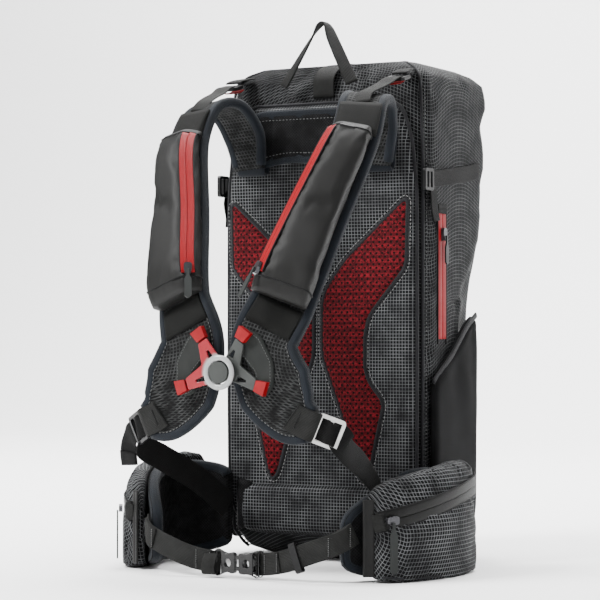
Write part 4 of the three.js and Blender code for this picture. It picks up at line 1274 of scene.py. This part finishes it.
loop_stations = leg + [((-x, y, z), (-a, b, c)) for (x, y, z), (a, b, c) in reversed(leg[:-1])]
loop_stations = [(at, across, HAUL_WIDTH) for at, across in loop_stations]
frames = [frame_at(loop_stations, u) for u in np.linspace(0, 1, 60)]
haul = band("haul_webbing", [f[0] for f in frames], [f[3] for f in frames], HAUL_WIDTH, 2.4,
            grey_webbing, pitch=3)
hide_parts("haul_loop")
on_body(haul, "haul_loop")

# ---- side compression straps ----
# A short webbing on each side wall, with a ladder lock at the harness edge, pulls the side in.
# Its spare end hangs down from the lock.
for side in SIDES:
    z = BACK_TOP - 122
    x = BAG_HALF + 2.1
    route = [(x, 14, z - 1), (x, 50, z + 3), (x + 0.4, 80, z + 7), (x, 120, z + 12),
             (x, 150, z + 18)]
    route = smooth(route, 24)
    strap = band(f"{side}_compression_webbing", route, LEVEL, 19, 2, black_webbing, side, pitch=5)
    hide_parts(f"{side}_compression_strap")
    on_root(strap)
    repaint(f"{side}_compression_buckle", black_plastic, 1.0)
    tail = [(x + 1.5, 16, z - 8), (x + 3.5, 14, z - 22), (x + 3, 18, z - 38), (x + 4.5, 20, z - 50)]
    tail = smooth(tail, 16)
    on_root(band(f"{side}_compression_tail", tail, LEVEL, 17, 1.8, black_webbing, side, pitch=4))

# ---- side-access zip ----
# A red coated zip down the left wall into the main bag, its slider parked at the top under a
# black garage tab.
zip_y = BAG_FRONT + 43
zip_top = BACK_TOP - 160
for half, label in ((-1, "front"), (1, "rear")):
    heights = np.linspace(zip_top - 150, zip_top, 30)
    path = [(BAG_HALF + 0.6, zip_y + half * 5.4, z) for z in heights]
    on_root(band(f"side_zip_{label}_tape", path, LEVEL, 10.6, 1.9, red_zip, square=3.4, pitch=4))
    heights = np.linspace(zip_top - 156, zip_top + 6, 30)
    path = [(BAG_HALF + 0.5, zip_y + half * 11.4, z) for z in heights]
    on_root(cord_tube(f"side_zip_{label}_seam", path, 1.1, black_cord))
path = [(BAG_HALF + 1.2, zip_y, z) for z in (zip_top - 2, zip_top + 3, zip_top + 9)]
on_root(band("side_zip_garage", path, LEVEL, 24, 2.4, black_webbing, square=6, pitch=3))
repaint("side_zip_slider", zip_metal, 1.0)
repaint("side_zip_pull", black_plastic, 0.6)

# ---- side pockets ----
# A stretch-woven pocket on each side wall, sewn in at the sides and base. Its slanted mouth is
# finished with bound elastic and its rear edge with piping.
pocket_low, pocket_high = (v * 1000 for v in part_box("left_side_pocket"))
front_y, rear_y = pocket_low.y - DEPTH_SHIFT, pocket_high.y - DEPTH_SHIFT
edge_y = BAG_FRONT + 12
side_shape = [(edge_y, 22), (rear_y - 18, 22), (rear_y - 4, 60), (rear_y, 250), (rear_y - 4, 296),
              (rear_y - 30, 286), (front_y, 246), (edge_y, 216)]
side_outline = rounded(side_shape, 12)


def stretch_cloth(name):
    """Soft black stretch knit with a faint vertical rib and broad shading."""
    material = blank(name, 0.8, specular_ior_level=0.08)
    across = cloth_axes(material)[0]
    rib = maths(material, "PINGPONG", across, 0.8)
    soft = step(material, grain(material, 22.0, 2.0), 0.35, 0.75)
    shade = mix(material, soft, (0.0016, 0.0016, 0.0018), (0.0045, 0.0046, 0.005))
    return dress(material, shade, rib, 0.00025)


def slack(flat, depth):
    """Folds that hang from the mouth and gather at the rear."""
    u, v = flat[:, 0] - front_y, flat[:, 1]
    folds = 1.1 * np.sin(u / 9 + v / 60) * np.exp(-((v - 250) / 90) ** 2)
    return np.tanh(depth / 14) * (folds - 0.6)


stretch = stretch_cloth("stretch_knit")
for side in SIDES:
    pouch = stuffed(f"{side}_stretch_pocket", side_outline, 8.4,
                    lambda y, z, h: (BAG_HALF + 0.5 + h, y, z), stretch, side, cell=4.5, rim=13,
                    shape=slack)
    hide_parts(f"{side}_side_pocket")
    on_root(pouch)
    mouth = [(BAG_HALF + 3, edge_y + 2, 215), (BAG_HALF + 6, front_y, 245),
             (BAG_HALF + 8.3, (front_y + rear_y) / 2, 279), (BAG_HALF + 6.5, rear_y - 8, 294)]
    mouth = smooth(mouth, 20)
    on_root(band(f"{side}_pocket_mouth", mouth, LEVEL, 7, 3, piping_tape, side, square=3, pitch=4))
    rear = [(BAG_HALF - 1, rear_y + 2, 255), (BAG_HALF + 1, rear_y + 3, 190),
            (BAG_HALF - 1, rear_y + 2, 110)]
    rear = smooth(rear, 20)
    on_root(cord_tube(f"{side}_pocket_rear_piping", rear, 2.0, piping_tape, side))

# ---- hip belt wings ----
# A curved foam wing each side under embossed black mesh, bound round its free edges with navy
# tape. A padded flap on the back panel holds its root, and it swings there.
POCKET_OUTER = 209
HIP_POCKET_THICK = 27
POCKET_INNER = POCKET_OUTER - HIP_POCKET_THICK
WING_THICK = 12
WING_RADIUS = POCKET_INNER - 1.2 - WING_THICK / 2
WING_CENTRE = (BAG_HALF - 137, -53)


def on_curve(radius, degrees, z=0.0):
    """A place on the curve that the wing and its pocket follow, in plan."""
    angle = math.radians(degrees)
    return WING_CENTRE[0] + radius * math.cos(angle), WING_CENTRE[1] + radius * math.sin(angle), z


wing_rows = [(BAG_HALF - 22, -24.5, 20, 108), (BAG_HALF - 5, -27, 14, 114), (BAG_HALF + 18, -38, 8, 118),
             (BAG_HALF + 31, -56, 6, 118)]
wing_tip_rows = ((-10, 5, 116), (-20, 4, 110), (-30, 5, 102), (-39, 8, 88), (-46, 16, 70))
for degrees, low, high in wing_tip_rows:
    wing_rows.append((*on_curve(WING_RADIUS, degrees)[:2], low, high))
wing_line = np.array(smooth([row[:2] for row in wing_rows], 200))
wing_far = np.concatenate([[0], np.cumsum(np.linalg.norm(np.diff(wing_line, axis=0), axis=1))])


def on_wing(s, z, h):
    """A place s along the wing, at height z, h in from its outer face towards the wearer."""
    (x, x_before, x_after), (y, y_before, y_after) = (
        np.interp((s, s - 1, s + 1), wing_far, wing_line[:, k]) for k in (0, 1))
    run_x, run_y = x_after - x_before, y_after - y_before
    size = math.hypot(run_x, run_y) + 1e-9
    return x + run_y / size * (h - WING_THICK / 2), y - run_x / size * (h - WING_THICK / 2), z


marks = wing_far[np.linspace(0, 199, len(wing_rows)).astype(int)]
wing_shape = [(s, row[2]) for s, row in zip(marks, wing_rows)]
wing_shape += [(s, row[3]) for s, row in reversed(list(zip(marks, wing_rows)))]
wing_outline = rounded(wing_shape, 13)


def wing_blocks(flat, depth, across=13.0, along=7.0):
    """Foam pressed into small blocks, every other row shifted by half, fading at the binding."""
    row = np.floor(flat[:, 1] / along)
    u = np.abs((flat[:, 0] / across + row * 0.5) % 1 - 0.5) * 2
    v = np.abs((flat[:, 1] / along) % 1 - 0.5) * 2
    return (1.3 * (1 - np.maximum(u, v) ** 4) - 0.6) * np.clip((depth - 10) / 6, 0, 1) - 0.8


for side in SIDES:
    body = f"{side}_wing"
    wing = stuffed(f"{side}_wing_foam", wing_outline, WING_THICK, on_wing, black_mesh, side,
                   cell=2.5, rim=6, shape=wing_blocks)
    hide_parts(f"{side}_wing_pad")
    on_body(wing, body)
    ring = beside(evenly(wing_outline, 150, closed=True), -4.5)
    first = np.argmin(np.hypot(ring[:, 0], ring[:, 1] - 26))
    ring = np.roll(ring, -first, 0)
    ring = ring[:int(np.argmin(np.hypot(ring[:, 0], ring[:, 1] - 100))) + 1]
    path = [on_wing(s, z, WING_THICK / 2) for s, z in ring]
    outs = [np.array(on_wing(s, z, 1)) - np.array(on_wing(s, z, 0)) for s, z in ring]
    on_body(band(f"{side}_wing_binding", path, outs, 12, WING_THICK + 1.6, navy_tape, side,
                 square=2.8), body)
    flap_thick = min(PANEL_FACE - 2 - (lumbar_low.y - DEPTH_SHIFT) + 1.2, PANEL_FACE + 15.5)
    root_shape = rounded([(BAG_HALF - 48, 40), (BAG_HALF - 24, 36), (BAG_HALF - 24, 98),
                          (BAG_HALF - 46, 94)], 6)
    flap = stuffed(f"{side}_wing_root_flap", root_shape, flap_thick,
                   lambda x, z, h: (x, PANEL_FACE - 2 - h, z), black_mesh, side, cell=3, rim=4)
    on_root(flap)

# ---- hip pockets ----
# A zipped pocket of the bag's grid cloth fills the outside of each wing. Its top is gathered
# and leans in above a coated black zip that rises to the rear; plain black cloth trims its end.
HIP_ZIP = [(-37.2, 65.5), (-33, 69), (-15, 82), (0, 92), (10, 98), (17, 101)]    # degrees, height
pocket_rows = [    # degrees, low, high, share of the full thickness
    (-38, 10, 95, 0.35), (-35, 3, 105, 0.8), (-28, 0, 113, 1), (-15, 0, 120, 1), (0, 0, 126, 1),
    (12, 1, 127, 1), (18.5, 5, 124, 0.8), (21, 14, 115, 0.35),
]
HIP_FROM, HIP_TO = pocket_rows[0][0], pocket_rows[-1][0]    # degrees
# The bag's grid cloth with lighter threads than the bag body's copy, which is painted shade.
hip_grid = grid_ripstop("hip_grid_ripstop", pitch=4.4, line=(0.16, 0.165, 0.17))
black_zip = zip_tape("black_zip_tape", (0.006, 0.006, 0.0058))
trim_cloth = satin("black_trim_cloth", (0.0052, 0.0052, 0.005))


def hip_row(degrees):
    """Height range and thickness of the pocket at an angle round the wing."""
    rows = np.array(pocket_rows, float)
    low, high, share = (np.interp(degrees, rows[:, 0], rows[:, k]) for k in (1, 2, 3))
    return low, high, share * HIP_POCKET_THICK


def zip_height(degrees):
    return np.interp(degrees, [s[0] for s in HIP_ZIP], [s[1] for s in HIP_ZIP])


def outer_radius(degrees):
    thick = hip_row(degrees)[2]
    return POCKET_OUTER - HIP_POCKET_THICK / 2 - (HIP_POCKET_THICK - thick) * 0.3 + thick / 2


def hip_section(degrees, size=1.0, count=72):
    """The pocket's section: upright outside up to the zip, then leaning in to the top."""
    low, high, thick = hip_row(degrees)
    outer = outer_radius(degrees)
    inner = outer - thick
    seam = min(zip_height(degrees), high - 8)
    lean = min(13, thick * 0.45)
    shape = [(inner, low), (outer, low), (outer, seam + 4),
             (outer - lean * 0.35, (seam + high) / 2 + 5), (outer - lean, high), (inner, high)]
    shape = rounded(shape, 5)
    middle = np.array([(inner + outer) / 2, (low + high) / 2])
    shape = middle + (shape - middle) * size
    shape = evenly(np.column_stack([shape, np.zeros(len(shape))]), count, closed=True)
    return [on_curve(r, degrees, z) for r, z, _ in shape]


def over_pocket(places, lift):
    """Points lifted off the pocket's outer face at places of angle and height, and their faces."""
    path = [on_curve(outer_radius(a) + lift, a, z) for a, z in places]
    return path, [(math.cos(math.radians(a)), math.sin(math.radians(a)), 0) for a, _ in places]


for side in SIDES:
    body = f"{side}_wing"
    rings = [hip_section(HIP_FROM, 0.4), hip_section(HIP_FROM, 0.75)]
    rings += [hip_section(a) for a in np.linspace(HIP_FROM, HIP_TO, 66)]
    rings += [hip_section(HIP_TO, 0.75), hip_section(HIP_TO, 0.4)]
    pouch = skin(f"{side}_hip_pocket_cloth", rings, hip_grid, side)
    spots = numbers(pouch) * 1000
    x, y = np.abs(spots[:, 0]) - WING_CENTRE[0], spots[:, 1] - WING_CENTRE[1]
    where = np.degrees(np.arctan2(y, x))
    reach = np.hypot(y, x)
    near_zip = (np.abs(spots[:, 2] - zip_height(where)) < 13) & (reach > POCKET_OUTER - 12)
    at_ends = (where < HIP_FROM + 1.5) | (where > HIP_TO - 0.5)
    sewn = near_zip | (reach < POCKET_INNER + 3) | at_ends
    let_out(pouch, sewn, pressure=2.5, spare=0.035, outward=2.6, inward=3.2)
    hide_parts(f"{side}_hip_pocket")
    on_body(pouch, body)
    places = [(a, zip_height(a)) for a in np.linspace(-36.6, 17, 50)]
    for half, label in ((-1, "lower"), (1, "upper")):
        path, outs = over_pocket([(a, z + half * 5.2) for a, z in places], 0.4)
        on_body(band(f"{side}_hip_zip_{label}_tape", path, outs, 10.2, 1.8, black_zip, side,
                     square=3.4, pitch=4), body)
        path, outs = over_pocket([(a, z + half * 11) for a, z in places], 0.5)
        on_body(cord_tube(f"{side}_hip_zip_{label}_seam", path, 0.9, black_cord, side), body)
    path, outs = over_pocket([(a, zip_height(a) - 0.5) for a in (-37.5, -36, -34.5)], 1.7)
    on_body(band(f"{side}_hip_zip_garage", path, outs, 19, 1.8, grey_webbing, side, square=6,
                 pitch=2), body)
    path, outs = over_pocket([(a, 49) for a in (-40.5, -39, -37)], 0.2)
    on_body(band(f"{side}_hip_trim", path, outs, 84, 2.4, trim_cloth, side, square=9, pitch=2), body)
    base = [(a, hip_row(a)[0] + 4) for a in np.linspace(-35, 17, 40)]
    path, outs = over_pocket(base, 0.1)
    on_body(cord_tube(f"{side}_hip_pocket_base_piping", path, 1.3, piping_tape, side), body)
    repaint(f"{side}_hip_zip_slider", zip_metal, 1.0)
    repaint(f"{side}_hip_zip_pull", rubber_pull, 0.6)

# ---- belt webbing ----
# Grey webbing sewn to each wing's tip, its folded end stitched down, runs to the buckle. A
# triglide holds the folded tail on the wearer's left, and a small loop is left over on the right.
buckle_low, buckle_high = (v * 1000 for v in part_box("buckle_socket"))
BUCKLE_Z = (buckle_low.z + buckle_high.z) / 2
BUCKLE_Y = (buckle_low.y + buckle_high.y) / 2 - DEPTH_SHIFT
BELT_WEB = buckle_high.z - buckle_low.z - 5
TACK_LIFT = 3.4    # from the belt's middle to the face of its folded end
belt_webbing = webbing("belt_webbing", (0.0185, 0.0188, 0.018))
belt_route = [on_curve(POCKET_INNER + 2, -42, 54), on_curve(POCKET_INNER + 4, -49, 43),
              (90, BUCKLE_Y - 3, BUCKLE_Z + 15), (60, BUCKLE_Y - 3, BUCKLE_Z + 5),
              (buckle_high.x + 6, BUCKLE_Y, BUCKLE_Z + 0.5), (buckle_high.x - 6, BUCKLE_Y, BUCKLE_Z)]
belt_path = np.array(smooth(belt_route, 60))
belt_faces = facing(belt_path, (0, 0, 1))
belt_faces *= np.sign(belt_faces[30].dot(TO_WEARER))
belt_faces /= np.linalg.norm(belt_faces, axis=1)[:, None]
for side in SIDES:
    body = f"{side}_wing"
    belt = band(f"{side}_belt", belt_path, belt_faces, BELT_WEB - 1, 2, belt_webbing, side, pitch=4)
    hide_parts(f"{side}_belt_webbing")
    on_body(belt, body)
    for start, stop, label in ((3, 17, "sewn_end"), (38, 49, "folded_end")):
        path = belt_path[start:stop] + belt_faces[start:stop] * 2.1
        on_body(band(f"{side}_belt_{label}", path, belt_faces[start:stop], BELT_WEB - 2, 2,
                     belt_webbing, side, pitch=4), body)
        for spot in (start + 1, stop - 2):
            at, out = belt_path[spot] + belt_faces[spot] * TACK_LIFT, belt_faces[spot]
            heights = np.linspace(3 - BELT_WEB / 2, BELT_WEB / 2 - 3, 14)
            run = [at + np.array((0, 0, 1)) * z for z in heights]
            on_body(stitches(f"{side}_belt_{label}_tack_{spot}", run, out, grey_thread, side,
                             length=1.5, gap=0.4), body)
at = belt_path[49] + belt_faces[49] * TACK_LIFT
loop_shape = ((0, 9), (-5, 2), (-8, -6), (-6, -12.5), (-1.5, -12.5), (0.5, -7), (0.5, 0))
loop = smooth([at + np.array((0, y, z)) for y, z in loop_shape], 60)
on_body(band("belt_tail_loop", loop, facing(loop, LEVEL), 17, 1.6, belt_webbing, "right",
             pitch=1.5), "right_wing")
repaint("belt_triglide", black_plastic, 1.0)

# ---- side-release buckle ----
# Black moulded plug and socket on the middle line, waisted, with oval windows and a slot for the
# webbing. The socket is two plates joined at its end, and the plug's sprung prongs lie between.
glossy_plastic = moulded("glossy_black_plastic", (0.0045, 0.0045, 0.0048), 0.28, specular_ior_level=0.4)
PRONG_GAP = 2.7    # half of the space between the socket's plates
half_tall = (buckle_high.z - buckle_low.z) / 2
half_deep = (buckle_high.y - buckle_low.y) / 2
start_x, end_x = buckle_low.x, buckle_high.x


def buckle_half(start, waist):
    """The outline of one half seen from the front, from the joint to the webbing's bar."""
    upper = [(start, half_tall - 4.5), (start + 5, half_tall - 3.5), (start + 10, waist),
             (start + 17, half_tall - 3), (end_x - 3, half_tall), (end_x, half_tall - 2)]
    shape = upper + [(x, -z) for x, z in reversed(upper)]
    return rounded([(x, BUCKLE_Z + z) for x, z in shape], 2.5)


def oval(x, wide, tall, count=20):
    turns = np.arange(count) / count * 2 * math.pi
    return [(x + wide * math.cos(t), BUCKLE_Z + tall * math.sin(t)) for t in turns]


def upright_slot(left, right, low, high, radius):
    """An upright slot or bar with rounded corners, as an outline."""
    return rounded([(left, low), (right, low), (right, high), (left, high)], radius)


web_slot = upright_slot(end_x - 8, end_x - 3.5, BUCKLE_Z - 12.5, BUCKLE_Z + 12.5, 1.2)
window = oval(12.5, 4, 4.6)
socket_shape = [buckle_half(start_x, half_tall - 4), window, web_slot]
for near, far, label in ((-half_deep, -PRONG_GAP, "front"), (PRONG_GAP, half_deep, "rear")):
    plate = pressed(f"buckle_socket_{label}_plate", socket_shape, BUCKLE_Y + near, BUCKLE_Y + far,
                    glossy_plastic, edge=0.8)
    if label == "front":
        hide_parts("buckle_socket")
    on_body(plate, "left_wing")
end_bar = upright_slot(end_x - 3.3, end_x - 0.4, BUCKLE_Z - half_tall + 3, BUCKLE_Z + half_tall - 3,
                       0.8)
on_body(pressed("buckle_socket_end_bar", [end_bar], BUCKLE_Y - 3, BUCKLE_Y + 3, glossy_plastic,
                edge=0.5), "left_wing")
plug_shape = [buckle_half(start_x, half_tall - 5.5), window, web_slot]
plug = pressed("buckle_plug_frame", plug_shape, BUCKLE_Y - 3, BUCKLE_Y + 3, glossy_plastic, "right",
               edge=0.8)
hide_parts("buckle_plug")
on_body(plug, "right_wing")
for piece in ("upper_prong", "lower_prong"):
    repaint(piece, glossy_plastic, 0.9)
